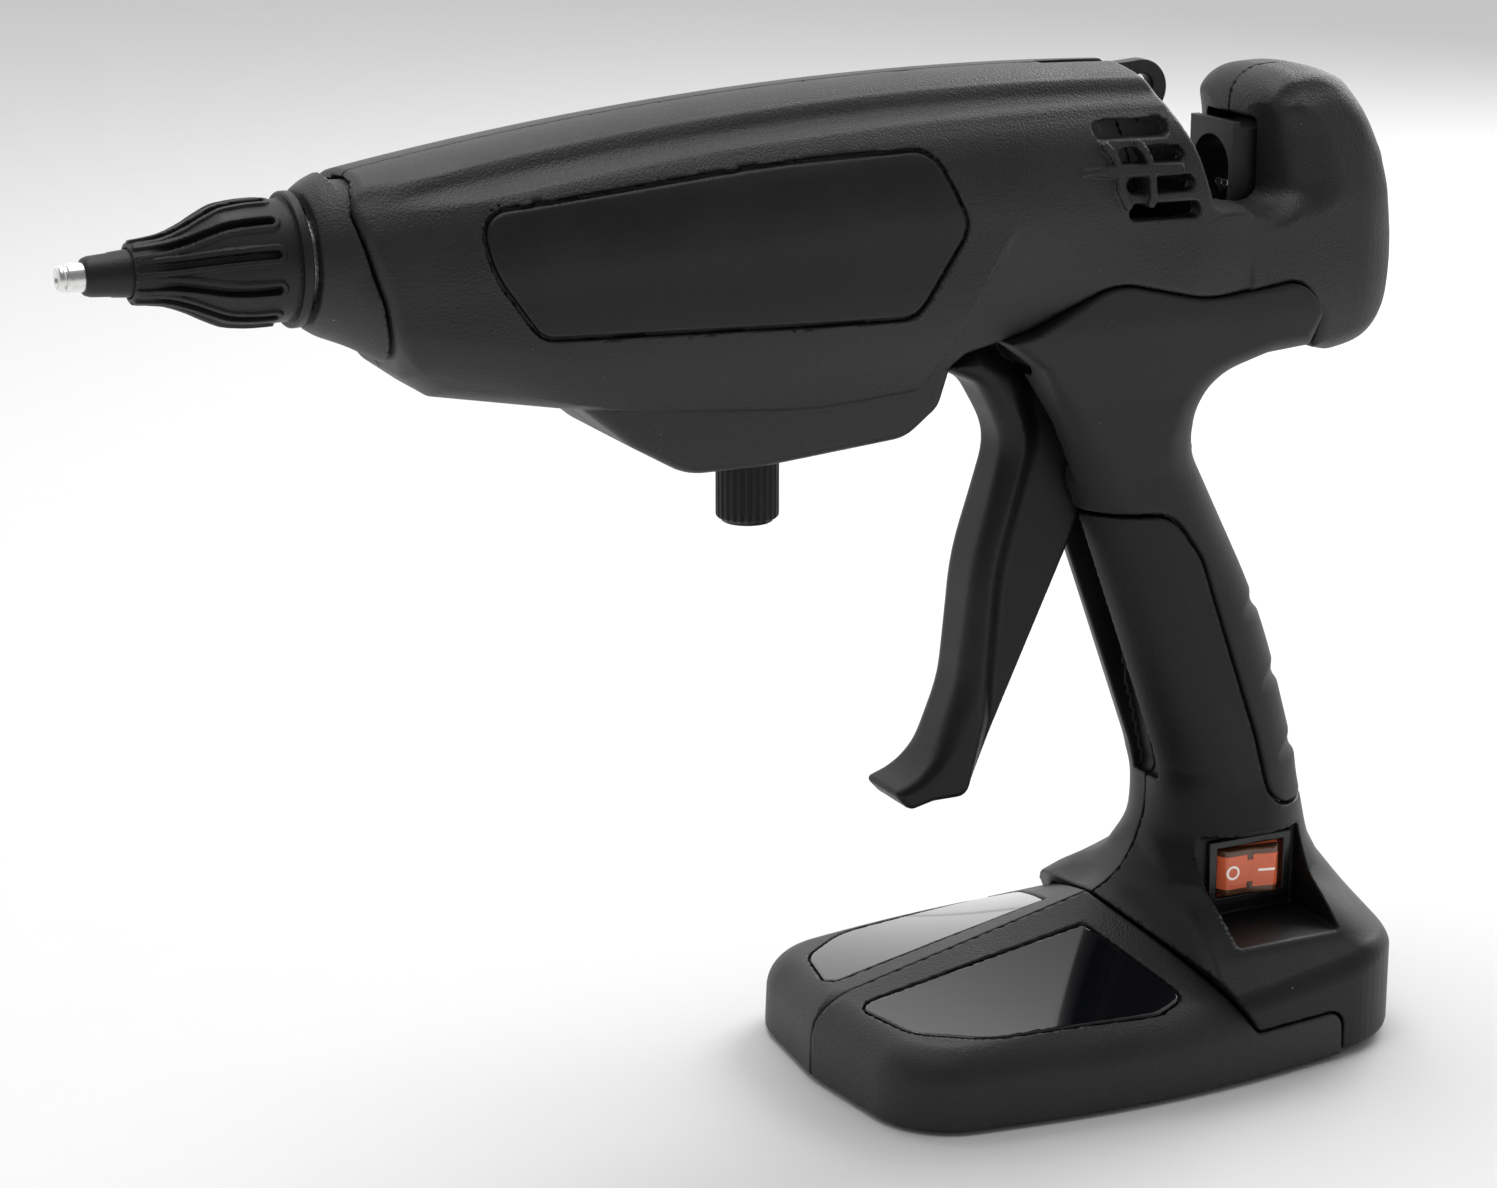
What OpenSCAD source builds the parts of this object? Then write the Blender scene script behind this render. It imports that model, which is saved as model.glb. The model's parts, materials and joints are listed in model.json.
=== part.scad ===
// Industrial hot-melt glue gun on a standing base.
// +X points to the rear, so the nozzle points to -X. +Z is up, and -Y is the gun's left side.
// The origin is on the surface the gun stands on, under the middle of its length.

/* [Overall] */
// Length from the nozzle tip to the back of the hump
gun_len = 287; // [284:1:292]
// Height of the glue stick's axis above the bench
axis_z = 185.5; // [185:0.5:186]
// Half the width of the casing at its widest
casing_half_w = 27; // [26:0.5:29]
// Thickness of the moulded shells
wall = 2.6; // [2:0.1:3]

/* [Casing] */
// Height of the highest point of the casing's back
top_z = 213; // [212:0.5:214]
// Radius of the long arc of the casing's back, seen from the side
top_arc_r = 740; // [680:5:800]
// Where along X that arc is highest
top_arc_x = 43; // [38:1:46]
// Floor of the notch where the glue stick shows
notch_floor_z = 183.5; // [183:0.5:184]

/* [Glue stick path] */
// Radius of the hole that a 12 mm glue stick slides through
stick_hole_r = 6.5; // [6.3:0.1:6.7]
// Radius of the melt chamber's body
chamber_r = 12; // [11.5:0.1:12.4]
// Radius of the orifice in the nozzle tip
orifice_r = 1; // [0.6:0.1:1.4]

/* [Trigger] */
// Half the width of the finger bar
bar_half_w = 7.5; // [7:0.25:7.5]
// Half the thickness of the web behind the finger bar
web_half_w = 4; // [3:0.5:4]
// Radius of the trigger's pivot pin
trigger_pin_r = 2; // [1.8:0.1:2.2]

/* [Switch and knob] */
// Length of the rocker switch's bezel
bezel_len = 21; // [20:0.5:21.5]
// Height of the rocker switch's bezel
bezel_h = 15; // [14.5:0.5:15]
// Tilt of the rocker to each side of its middle position
rocker_tilt = 8; // [6:1:9]
// Radius of the temperature knob
knob_r = 6.5; // [6:0.25:7]
// Number of grooves around the knob
knob_grooves = 24; // [16:1:32]

/* [Base] */
// Half the width of the base
base_half_w = 44.6; // [43:0.2:46]
// Height of the ridge of the base's roof where it meets the handle
ridge_z = 32; // [30:0.5:33]
// Height of the base's side walls at their upper edge
eaves_z = 16.5; // [16:0.5:18]
// How far the rubber feet stand out below the shells
foot_h = 1; // [0.8:0.1:1.5]

/* [Fasteners] */
// Shank radius of the shell screws
screw_r = 1.5; // [1.4:0.1:1.6]
// Head radius of the shell screws
screw_head_r = 2.8; // [2.6:0.1:3]

/* [Hidden] */
$fn = 48;

tip_x = -gun_len / 2;
rear_x = gun_len / 2;
fit = 0.05;          // radial clearance of pins and shafts that turn
big = 400;           // larger than the gun in every direction
back_end_x = 99;     // end of the casing's arched back, inside the notch
skin = 1.4;          // thickness of the soft grip's moulding
panel_t = 1.2;       // thickness of the casing's side panels
plastic = "#2b2c2e";
dark_plastic = "#1d1e20";
rubber = "#232325";
steel = "#b9bcc0";

// Trigger geometry: the pivot, the pin that it drives, and the travel between its two stops
pivot = [55, 158];
arm_lean = 9;                                        // the arms lean back this far at rest
drive_pin_x = pivot.x + (axis_z - pivot.y) * tan(arm_lean);
cheek_y = 8;                                         // inner face of the carriage's cheeks
arm_y = 10.5;                                        // inner face of the trigger's arms
arm_t = 3;

// Top of the sole plate that closes the base
sole_z = 3.6;

// Middle of the hanging eye's round end
eye_at = [84, 206];

// Heights of the feed carriage
rail_z = 173;
rail_t = 2.4;
plate_x = 102.4;
plate_t = 1.6;

// Rear end of the base
base_rear_x = 140.8;

// Middle of the rocker switch, and of the knob, whose shaft reaches into the potentiometer
switch_x = 109.2;
switch_y = -15;
switch_z = 36.6;
knob_x = -5;
knob_z = [124.6, 138.6];
knob_shaft_top = 148.5;

// Outlines: each point is [x, z, corner radius], or [x, y, corner radius] in plan
seam = [
    [34, 158.5, 2], [48, 162, 10], [66, 171, 14], [88, 165.8, 30],
    [111.5, 167.6, 7], [117.3, 160.5, 5], [117.3, 152, 1]
];
notch = [[75, 216, 0], [84.5, 196, 40], [88.6, notch_floor_z, 2], [106.5, notch_floor_z, 2]];
hump = [
    [106.5, 211.6, 8], [125, 211.2, 14], [137.8, 195, 30], [rear_x, 175, 12],
    [rear_x, 169, 12], [rear_x - 1.3, 151.2, 10.5], [124, 150, 8]
];
belly_edge = [[28, 153, 2], [0, 150.8, 90], [-52, 155.3, 40], [-76, 158.8, 2], [-82.5, 163.6, 3]];
casing_side = concat(
    [[-84, 168, 2], [-93.5, 202, 0], [-93.5, 216, 0]], notch, hump,
    [for (i = [len(seam) - 1 : -1 : 0]) seam[i]], belly_edge
);
casing_plan_half = [
    [-97, -17, 0], [-62, -24.5, 60], [0, -casing_half_w, 200], [88, -24.5, 120], [rear_x, -19.2, 17.5]
];
belly_side = [
    [-54, 160, 0], [-37, 146.2, 12], [-26, 139.6, 8], [-8, 139.2, 60], [24, 142, 8], [31, 148, 4],
    [33, 160, 0]
];
handle_front = [
    [77, 32, 2], [85.5, 37, 6], [90.6, 46, 12], [92, 57, 30], [69.8, 117, 60], [60, 140, 20],
    [51, 154, 5], [42, 160.5, 0]
];
handle_rear = [
    [108, 150.3, 8], [94.3, 143.5, 11], [94.6, 131, 14], [114, 94, 150], [128.6, 46, 30],
    [129.8, 41.5, 4], [133.4, 34, 6], [base_rear_x, 18.5, 7], [base_rear_x, foot_h, 0]
];
foot_step = [[118, foot_h, 0], [118, 11.2, 4], [94.5, 11.2, 1], [86.5, 23, 30]];
handle_side = concat(handle_front, [for (i = [1 : len(seam) - 1]) seam[i]], handle_rear, foot_step);
base_plan_half = [[10, 0, 0], [13.8, -37.8, 18], [72, -base_half_w - 0.8, 230], [139.4, -36.8, 22]];
// The side view area that the soft grip covers: the neck and the back of the handle
grip_outline = [
    [20, 119.6, 0], [79, 119.6, 12], [90, 109, 20], [108, 68, 40], [113, 50.5, 8], [150, 50.5, 0],
    [150, 180, 0], [20, 180, 0]
];
web_slot = [
    [58, 121, 0], [88.8, 56.5, 0], [94, 56.5, 2], [88, 80, 20], [87, 138, 6], [76, 161, 0],
    [58, 161, 0]
];
bar_slot = [[30, 150, 0], [56, 124, 0], [66, 124, 3], [66, 152, 3], [60, 175, 0], [30, 175, 0]];

// Half sections: each point is [y, z]
casing_section = [
    [5, top_z], [13.5, top_z - 2.2], [20, top_z - 6.2], [25.2, top_z - 14], [casing_half_w, top_z - 23],
    [casing_half_w, top_z - 41], [24, top_z - 56], [20, top_z - 63], [20, top_z - 85]
];
hump_section = [
    [12.5, 208], [18.5, 201], [20, 194], [23, 180], [24, 168], [22.5, 156], [18, 148], [18, 130]
];
handle_section = [
    [24, 178], [23.6, 162], [19.5, 145], [17.2, 128], [16.8, 100], [17, 56], [18, 46], [23, 36.5],
    [34, 25], [base_half_w, eaves_z], [base_half_w, 0]
];

// Screws: [x, z] seen from the side, or [x, y] from below
casing_screw_at = [[-64, 163], [-20, 203], [40, 203.5], [22, 158.5], [122, 202.5], [132, 160]];
handle_screw_at = [[91, 132], [103, 98], [115, 62]];
base_screw_at = [[26, 24], [58, 34]];
sole_screw_at = [108, 20];
foot_at = [[34, 30], [127, 24]];

// ---------- Helpers ----------

function unit(v) = v / norm(v);

// Points of the arc that rounds corner b, between its neighbours a and c
function corner_arc(a, b, c, r, n) =
    let (
        u = unit(a - b),
        v = unit(c - b),
        half = acos(u * v) / 2,
        centre = b + unit(u + v) * r / sin(half),
        from = b + u * r / tan(half) - centre,
        to = b + v * r / tan(half) - centre,
        start = atan2(from.y, from.x),
        sweep = (atan2(to.y, to.x) - start + 540) % 360 - 180
    )
    [for (k = [0 : n]) centre + r * [cos(start + sweep * k / n), sin(start + sweep * k / n)]];

function flat(p) = [p.x, p.y];

// A closed outline with each corner rounded to the radius in its third value
function rounded(pts, n = 5) =
    let (count = len(pts))
    [for (i = [0 : count - 1])
        let (a = flat(pts[(i + count - 1) % count]), b = flat(pts[i]), c = flat(pts[(i + 1) % count]))
        each pts[i][2] > 0 ? corner_arc(a, b, c, pts[i][2], n) : [b]];

function mirrored(half) = concat(half, [for (i = [len(half) - 1 : -1 : 0]) [-half[i].x, half[i].y]]);

// A plan outline given by its lower half, mirrored about the X axis
function plan_of(half) =
    concat(half, [for (i = [len(half) - 1 : -1 : 0]) if (half[i].y != 0) [half[i].x, -half[i].y, half[i][2]]]);

// A side view outline, in X and Z, given its full thickness along Y
module side_slab(pts, half_w = 60, inset = 0) {
    rotate([90, 0, 0])
        linear_extrude(2 * half_w, center = true)
            offset(delta = -inset) polygon(pts);
}

// A section outline, in Y and Z, drawn out along X
module section_bar(half, x0, x1, inset = 0) {
    translate([x0, 0, 0])
        rotate([90, 0, 90])
            linear_extrude(x1 - x0)
                offset(delta = -inset) polygon(mirrored(half));
}

module plan_block(pts, z0, z1, inset = 0) {
    translate([0, 0, z0])
        linear_extrude(z1 - z0)
            offset(delta = -inset) polygon(pts);
}

// A cylinder along X on the glue stick's axis, and one along Y at a point seen from the side
module axis_rod(x0, x1, r, r2 = undef) {
    translate([x0, 0, axis_z])
        rotate([0, 90, 0])
            cylinder(h = x1 - x0, r1 = r, r2 = is_undef(r2) ? r : r2);
}

module cross_rod(at, y0, y1, r) {
    translate([at.x, y1, at.y])
        rotate([90, 0, 0])
            cylinder(h = y1 - y0, r = r);
}

module box(from, to) {
    translate(from) cube(to - from);
}

// Keeps the part of its children on one side of the middle plane: -1 is the left half
module half(side) {
    intersection() {
        children();
        box([-big, side < 0 ? -big : 0, -big], [big, side < 0 ? 0 : big, big]);
    }
}

// ---------- Casing ----------

// The casing's cross section, swept along the arc of its back
module casing_sweep(inset) {
    start = acos((back_end_x - top_arc_x) / top_arc_r);
    stop = acos((tip_x + 33.5 - top_arc_x) / top_arc_r);
    translate([top_arc_x, 0, top_z - top_arc_r])
        rotate([90, 0, 0])
            rotate([0, 0, start])
                rotate_extrude(angle = stop - start)
                    offset(delta = -inset)
                        polygon([for (p = mirrored(casing_section)) [p.y + top_arc_r - top_z, p.x]]);
}

module casing_form(inset) {
    intersection() {
        side_slab(rounded(casing_side), inset = inset);
        plan_block(rounded(plan_of(casing_plan_half)), 100, 230, inset);
        union() {
            casing_sweep(inset);
            section_bar(hump_section, 90, 160, inset);
        }
    }
    intersection() {
        side_slab(rounded(belly_side), 17.5 - inset, inset);
        box([-big, -big, 0], [big, big, 170]);
    }
}

// A wall across the casing's inside, with a round hole on the stick's axis
module bulkhead(x, hole_r) {
    difference() {
        intersection() {
            casing_form(wall / 2);
            box([x, -big, 0], [x + wall, big, big]);
        }
        axis_rod(x - 1, x + wall + 1, hole_r);
    }
}

module boss(at, side, r, reach) {
    cross_rod(at, side < 0 ? -reach : 0, side < 0 ? 0 : reach, r);
}

// The hole for a shell screw: a clearance hole with a head seat on the right, a pilot on the left
module screw_hole(at, side, reach) {
    cross_rod(at, side < 0 ? -13 : -1, side < 0 ? 1 : reach + 20, screw_r);
    if (side > 0) cross_rod(at, reach - 4, reach + 30, screw_head_r);
}

// Cooling slots through the side wall, behind the panel
module vents() {
    for (slot = [[60.5, 201.6], [65, 196.4], [66.5, 190.6], [66.8, 185.2]]) {
        translate([slot.x, 0, slot.y])
            rotate([0, -1.5, 0]) {
                box([1.5, -40, -1.5], [16.5, 40, 1.5]);
                for (x = [1.5, 16.5]) cross_rod([x, 0], -40, 40, 1.5);
            }
    }
}

module casing_half(side) {
    color(plastic)
        difference() {
            half(side) {
                difference() {
                    casing_form(0);
                    casing_form(wall);
                }
                bulkhead(-91, chamber_r);
                bulkhead(-29, 10.6);
                bulkhead(24, stick_hole_r + 0.5);
                intersection() {
                    casing_form(wall / 2);
                    for (at = casing_screw_at) boss(at, side, 3.4, 30);
                }
            }
            for (at = casing_screw_at) screw_hole(at, side, 12);
            collar_seat();
            axis_rod(82, 112, stick_hole_r + 1);                        // stick's way across the notch
            axis_rod(110, 160, 9.1);                                    // seat of the rear guide
            box([88, -9, 171], [110, 9, 200]);                          // carriage's way
            box([43, -14.5, 150], [73, 14.5, 175]);                     // trigger's arms
            cross_rod([40, 158], -9, 9, 6);                             // top of the finger bar
            box([72, -1.8, 199.8], [91, 1.8, 216]);                     // hanging eye
            box([61, -1.8, 202.4], [73, 1.8, 209.8]);
            translate([knob_x, 0, 130]) cylinder(h = 20, r = 4);        // knob's shaft
            vents();
            panel_layer(side);
        }
}

// The thin layer of the casing's side that the flat panel fills
module panel_layer(side) {
    outline = [
        [-70, 195, 5], [-10, 200.2, 200], [23, 201, 7], [31, 185.5, 6], [19, 168.4, 6],
        [-59, 171, 5], [-68, 184, 20]
    ];
    intersection() {
        difference() {
            casing_form(0);
            casing_form(panel_t);
        }
        side_slab(rounded(outline), 60);
        box([-big, side < 0 ? -60 : 15, 0], [big, side < 0 ? -15 : 60, big]);
    }
}

module side_panel(side) {
    color(dark_plastic) panel_layer(side);
}

// ---------- Handle and soft grip ----------

function base_plan() = rounded(plan_of(concat(base_plan_half, [[base_rear_x, 0, 0]])));

module handle_form(inset) {
    intersection() {
        side_slab(rounded(handle_side), inset = inset);
        section_bar(handle_section, 20, 160, inset);
        union() {
            plan_block(base_plan(), -1, 60, inset);
            box([20, -big, 59], [160, big, 180]);
        }
    }
}

module handle_half(side) {
    color(dark_plastic)
        difference() {
            half(side) {
                difference() {
                    handle_form(0);
                    handle_form(wall + skin);
                    difference() {
                        side_slab(rounded(grip_outline));
                        section_bar(handle_section, 20, 160, skin);
                    }
                }
                if (side < 0) intersection() {
                    handle_form(wall / 2);
                    switch_pocket(wall);
                }
                for (at = handle_screw_at) boss(at, side, 3.4, 14);
                translate([sole_screw_at.x, side * sole_screw_at.y, sole_z]) cylinder(h = 9, r = 3.4);
                cross_rod(pivot, side < 0 ? -16 : arm_y + arm_t + 0.3, side < 0 ? -arm_y - arm_t - 0.3 : 16, 4.5);
            }
            for (at = handle_screw_at) screw_hole(at, side, 8);
            translate([sole_screw_at.x, side * sole_screw_at.y, 0]) cylinder(h = 11, r = screw_r);
            cross_rod(pivot, -17, 17, trigger_pin_r);
            side_slab(rounded(web_slot), web_half_w + 1);
            side_slab(rounded(bar_slot), bar_half_w + 1.5);
            box([43, -14.5, 150], [73, 14.5, 176]);
            foot_pockets();
            if (side < 0) switch_pocket();
            translate([130, 0, 13]) rotate([0, 90, 0]) cylinder(h = 20, r = 6);
        }
}

module soft_grip(side) {
    color(rubber)
        half(side)
            intersection() {
                difference() {
                    handle_form(0);
                    section_bar(handle_section, 20, 160, skin);
                }
                side_slab(rounded(grip_outline));
            }
}

// The recess that the rocker switch sits in, and the hole for its body; grow thickens both
module switch_pocket(grow = 0) {
    g = [grow, grow, grow];
    box([switch_x - bezel_len / 2 - 1.2, -60, switch_z - bezel_h / 2 - 2.6] - g,
        [switch_x + bezel_len / 2 + 1, switch_y + 1.2, switch_z + bezel_h / 2 + 1.2] + g);
    if (grow == 0) box([switch_x - 9.4, -60, switch_z - 6.4], [switch_x + 9.4, 0, switch_z + 6.4]);
}

// ---------- Base ----------

function ridge_at(x) = 17.2 + (ridge_z - 17.2) * (x - 11.6) / (77 - 11.6);
function roof_at(x, y) = ridge_at(x) - (ridge_at(x) - eaves_z) * min(1, abs(y) / (base_half_w - 1.6));

// Everything under the base's roof, lowered by a given amount
module under_roof(drop) {
    xs = [for (i = [0 : 6]) 5 + 20 * i];
    ys = [-50, -43, -30, -15, 0, 15, 30, 43, 50];
    m = len(ys);
    top = [for (x = xs) for (y = ys) [x, y, roof_at(x, y) - drop]];
    low = [for (x = xs) for (y = ys) [x, y, -5]];
    n = len(top);
    cells = [for (i = [0 : len(xs) - 2]) for (j = [0 : m - 2]) i * m + j];
    polyhedron(
        concat(top, low),
        concat(
            [for (c = cells) [c, c + 1, c + m]],
            [for (c = cells) [c + 1, c + m + 1, c + m]],
            [for (c = cells) [n + c, n + c + m, n + c + 1]],
            [for (c = cells) [n + c + 1, n + c + m, n + c + m + 1]],
            [for (j = [0 : m - 2]) [j, n + j, n + j + 1, j + 1]],
            [for (j = [0 : m - 2]) [n - m + j + 1, 2 * n - m + j + 1, 2 * n - m + j, n - m + j]],
            [for (i = [0 : len(xs) - 2]) [(i + 1) * m, n + (i + 1) * m, n + i * m, i * m]],
            [for (i = [0 : len(xs) - 2])
                [i * m + m - 1, n + i * m + m - 1, n + (i + 1) * m + m - 1, (i + 1) * m + m - 1]]
        )
    );
}

// The front of the base seen from the side, with the low tongue that runs back beside the handle
base_side = concat(
    [[5, foot_h, 0], [5, 50, 0], [77, 50, 0], [77, 32, 2]],
    [for (i = [len(foot_step) - 1 : -1 : 0]) foot_step[i]]
);

module base_form(inset) {
    intersection() {
        plan_block(base_plan(), -1, 60, inset);
        under_roof(inset);
        side_slab(rounded(base_side));
    }
}

module inlay_outline() {
    polygon(rounded([[17, -6.5, 3], [71.5, -8, 1.5], [80.5, -35, 3], [72, -38, 8], [34, -33.5, 20], [21, -24, 10]]));
}

module inlay_layer(side) {
    intersection() {
        difference() {
            under_roof(0);
            under_roof(1.2);
        }
        mirror([0, side > 0 ? 1 : 0, 0])
            linear_extrude(60) inlay_outline();
    }
}

module base_front_half(side) {
    color(plastic)
        half(side)
            difference() {
                union() {
                    difference() {
                        base_form(0);
                        base_form(wall);
                    }
                    intersection() {
                        base_form(1);
                        for (at = base_screw_at) translate([at.x, side * at.y, sole_z]) cylinder(h = 40, r = 3.4);
                    }
                }
                for (at = base_screw_at) translate([at.x, side * at.y, -1]) cylinder(h = 12, r = screw_r);
                inlay_layer(side);
            }
}

module gloss_inlay(side) {
    color("#0c0d10") inlay_layer(side);
}

module base_sole() {
    color(dark_plastic)
        difference() {
            intersection() {
                plan_block(base_plan(), foot_h, sole_z, wall + 0.2);
                box([0, -big, 0], [117.8, big, 10]);
            }
            for (at = concat(base_screw_at, [sole_screw_at])) for (side = [-1, 1])
                translate([at.x, side * at.y, -1]) {
                    cylinder(h = 10, r = screw_r);
                    cylinder(h = 3.1, r = screw_head_r);
                }
            foot_pockets();
        }
}

module foot_pockets() {
    for (at = foot_at) for (side = [-1, 1]) translate([at.x, side * at.y, -1]) cylinder(h = 3.4, r = 6);
}

module rubber_feet() {
    color(rubber)
        for (at = foot_at) for (side = [-1, 1]) translate([at.x, side * at.y, 0]) cylinder(h = 2.4, r = 6);
}

// ---------- Nozzle and melt chamber ----------

// A solid of revolution about the stick's axis; each point is [x, r]
module axis_turned(pts) {
    translate([0, 0, axis_z])
        rotate([0, 90, 0])
            rotate_extrude()
                polygon([for (p = pts) [p.y, p.x]]);
}

// Outer profile of the nose collar, from its front to its tenon inside the casing
collar_outside = [[-97.5, 12.8], [-95.5, 14.4], [-91, 16], [-84, 17.2], [-84, 15.5], [-81, 15.5]];

module nose_collar() {
    color(plastic)
        axis_turned(concat([[-97.5, 10.2]], collar_outside, [[-81, 13.2], [-95, 13.2], [-95, 10.2]]));
}

module collar_seat() {
    axis_turned(concat([[-110, 0], [-110, 12.8]], collar_outside, [[-81, 0]]));
}

module nozzle_shroud() {
    fins = 11;
    color(rubber)
        difference() {
            axis_turned([
                [-130.3, 4.7], [-130.3, 5.75], [-124.5, 6.6], [-119, 9], [-114.5, 11.3], [-112, 11.6],
                [-101, 11.6], [-101, 12.6], [-98.6, 12.6], [-98.6, 9.7], [-112.5, 9.7], [-118, 7.6], [-124, 4.7]
            ]);
            for (i = [0 : fins - 1])
                translate([0, 0, axis_z])
                    rotate([360 * (i + 0.5) / fins, 0, 0])
                        box([-123, -0.8, 10.6], [-105, 0.8, 14]);
        }
}

module nozzle_boot() {
    color(rubber)
        axis_turned([[-138.8, 2.75], [-138.8, 3.4], [-137.6, 3.8], [-128.4, 4.6], [-125.4, 4.6], [-125.4, 2.75]]);
}

module nozzle_tip() {
    color(steel)
        axis_turned([
            [tip_x, orifice_r], [tip_x, 2.1], [tip_x + 0.6, 2.7], [-119, 2.7], [-119, 2.2], [-136, 2.2], [-139.5, orifice_r]
        ]);
}

module melt_chamber() {
    color("#c9cbcd")
        difference() {
            union() {
                axis_turned([
                    [-125, 0], [-125, 4.1], [-119, 6.3], [-113, 9], [-94.5, 9], [-93, chamber_r],
                    [-44, chamber_r], [-44, 8], [-34, 8], [-34, 0]
                ]);
                box([-80, -8.5, axis_z - 15.5], [-46, 8.5, axis_z - 4]);
            }
            axis_turned([[-126, 0], [-126, 2.7], [-117, 2.7], [-106, 6], [-33, stick_hole_r], [-33, 0]]);
            heater_rods(40);
        }
}

module heater_cartridges() {
    color("#a8a39a")
        heater_rods(33);
}

module heater_rods(length) {
    for (y = [-4.2, 4.2]) translate([-79, y, axis_z - 11.2]) rotate([0, 90, 0]) cylinder(h = length, r = 3);
}

// A sheet rolled around the top and sides of the melt chamber
module heat_shield() {
    color("#b59a5b")
        translate([-80, 0, axis_z])
            rotate([0, 90, 0])
                rotate([0, 0, 55])
                    rotate_extrude(angle = 250)
                        translate([chamber_r + 0.6, 0]) square([0.8, 33]);
}

module inlet_sleeve() {
    color("#8c2f23")
        difference() {
            axis_rod(-43.6, -14, 10.5);
            axis_rod(-50, -34, 8);
            axis_rod(-50, 0, stick_hole_r);
        }
}

module inlet_clamp() {
    color(steel)
        difference() {
            union() {
                axis_rod(-41.5, -35.5, 11.4);
                box([-40.5, -1.6, axis_z - 15.5], [-36.5, 1.6, axis_z - 10.6]);
            }
            axis_rod(-60, 0, 10.5);
        }
}

module rear_stick_guide() {
    color(dark_plastic)
        difference() {
            union() {
                axis_rod(124, 140, 9);
                axis_rod(124, 126.4, 10.8);
            }
            axis_rod(120, 145, stick_hole_r);
        }
}

// ---------- Fittings ----------

module hanging_eye() {
    color(dark_plastic)
        difference() {
            union() {
                cross_rod(eye_at, -1.75, 1.75, 6);
                side_slab([[62, 203], [62, 209], [72, 209.2], [76, 211.4], eye_at + [0, 6], eye_at - [0, 4]], 1.75);
            }
            cross_rod(eye_at + [0, 0.4], -5, 5, 2.6);
        }
}

module cord_gland() {
    color(rubber)
        translate([base_rear_x - 11, 0, 13])
            rotate([0, 90, 0])
                difference() {
                    union() {
                        cylinder(h = 11.6, r = 6);
                        translate([0, 0, 1]) cylinder(h = 3.6, r = 7.5);
                    }
                    translate([0, 0, -1]) cylinder(h = 20, r = 4);
                }
}

module potentiometer() {
    color("#6d7077")
        difference() {
            union() {
                translate([knob_x, 0, 144]) cylinder(h = 7, r = 8);
                translate([knob_x, 0, 142.8]) cylinder(h = 2, r = 5);
            }
            translate([knob_x, 0, 140]) cylinder(h = 9, r = 3 + fit);
        }
}

module circuit_board() {
    color("#2f6b3c")
        union() {
            box([-26, -13, 151], [18, 13, 152.6]);
            for (x = [8, 14]) translate([x, 6, 146]) cylinder(h = 5.2, r = 2.4);
            box([6, -10, 146.5], [15, -3, 151.1]);
        }
}

module switch_housing() {
    opening = [8.4, 5.6];
    color("#141517")
        translate([switch_x, switch_y, switch_z])
            difference() {
                union() {
                    box([-bezel_len / 2, 0, -bezel_h / 2], [bezel_len / 2, 1.2, bezel_h / 2]);
                    box([-9.2, 1, -6.2], [9.2, 13, 6.2]);
                }
                box([-opening.x, -1, -opening.y], [opening.x, 11, opening.y]);
            }
}

module switch_rocker() {
    r = 8.1;
    color("#e0401c")
        translate([switch_x, switch_y + 4, switch_z - 5.2])
            rotate([0, 0, -rocker_tilt])
                linear_extrude(10.4)
                    intersection() {
                        circle(r);
                        polygon([[-9, -6.1], [0, -5], [9, -6.1], [9, 2], [0, 4.5], [-9, 2]]);
                    }
}

module trigger_pin() {
    color(steel) cross_rod(pivot, -16.8, 16.8, trigger_pin_r);
}

// ---------- Screws ----------

module shell_screw(at, head_y) {
    cross_rod(at, head_y - 16, head_y, screw_r);
    cross_rod(at, head_y, head_y + 2, screw_head_r);
}

module casing_screws() {
    color(steel) for (at = casing_screw_at) shell_screw(at, 8);
}

module handle_screws() {
    color(steel) for (at = handle_screw_at) shell_screw(at, 4);
}

module base_screws() {
    color(steel)
        for (at = concat(base_screw_at, [sole_screw_at])) for (side = [-1, 1])
            translate([at.x, side * at.y, foot_h + 0.1]) {
                cylinder(h = 9, r = screw_r);
                cylinder(h = 1, r = screw_head_r);
            }
}

// ---------- Trigger and feed ----------

module trigger() {
    bar = [
        [36, 152.5, 1], [45, 148.5, 9], [53.2, 136.5, 13], [44.2, 111, 60], [41.6, 84, 30], [34.2, 67, 14],
        [25.6, 64.4, 1], [29.4, 59.6, 2], [35, 60.8, 2], [43, 60.8, 3], [48, 76, 20], [50.2, 108, 60],
        [58, 136, 14], [54, 151, 8], [44, 157, 2]
    ];
    web = [
        [35, 60.8, 2], [44.2, 60.8, 4], [68, 112, 60], [75, 130, 8], [70, 152, 6], [60, 163, 3],
        [44, 157, 2], [52, 136, 10], [42.5, 85, 10]
    ];
    arm_top = [drive_pin_x, axis_z];
    color(dark_plastic)
        difference() {
            union() {
                side_slab(rounded(bar), bar_half_w);
                side_slab(rounded(web), web_half_w);
                cross_rod(pivot, -arm_y - arm_t, arm_y + arm_t, 5.5);
                for (y = [-arm_y - arm_t, arm_y])
                    translate([0, y + arm_t, 0])
                        rotate([90, 0, 0])
                            linear_extrude(arm_t)
                                hull() {
                                    translate(pivot) circle(5.5, $fn = 32);
                                    translate(arm_top) circle(4.6, $fn = 32);
                                }
            }
            cross_rod(pivot, -30, 30, trigger_pin_r + fit);
            translate([arm_top.x, 0, arm_top.y])
                rotate([0, arm_lean, 0]) {
                    for (z = [-1, 1]) cross_rod([0, z], -30, 30, 2.4);
                    box([-2.4, -30, -1], [2.4, 30, 1]);
                }
        }
}

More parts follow.
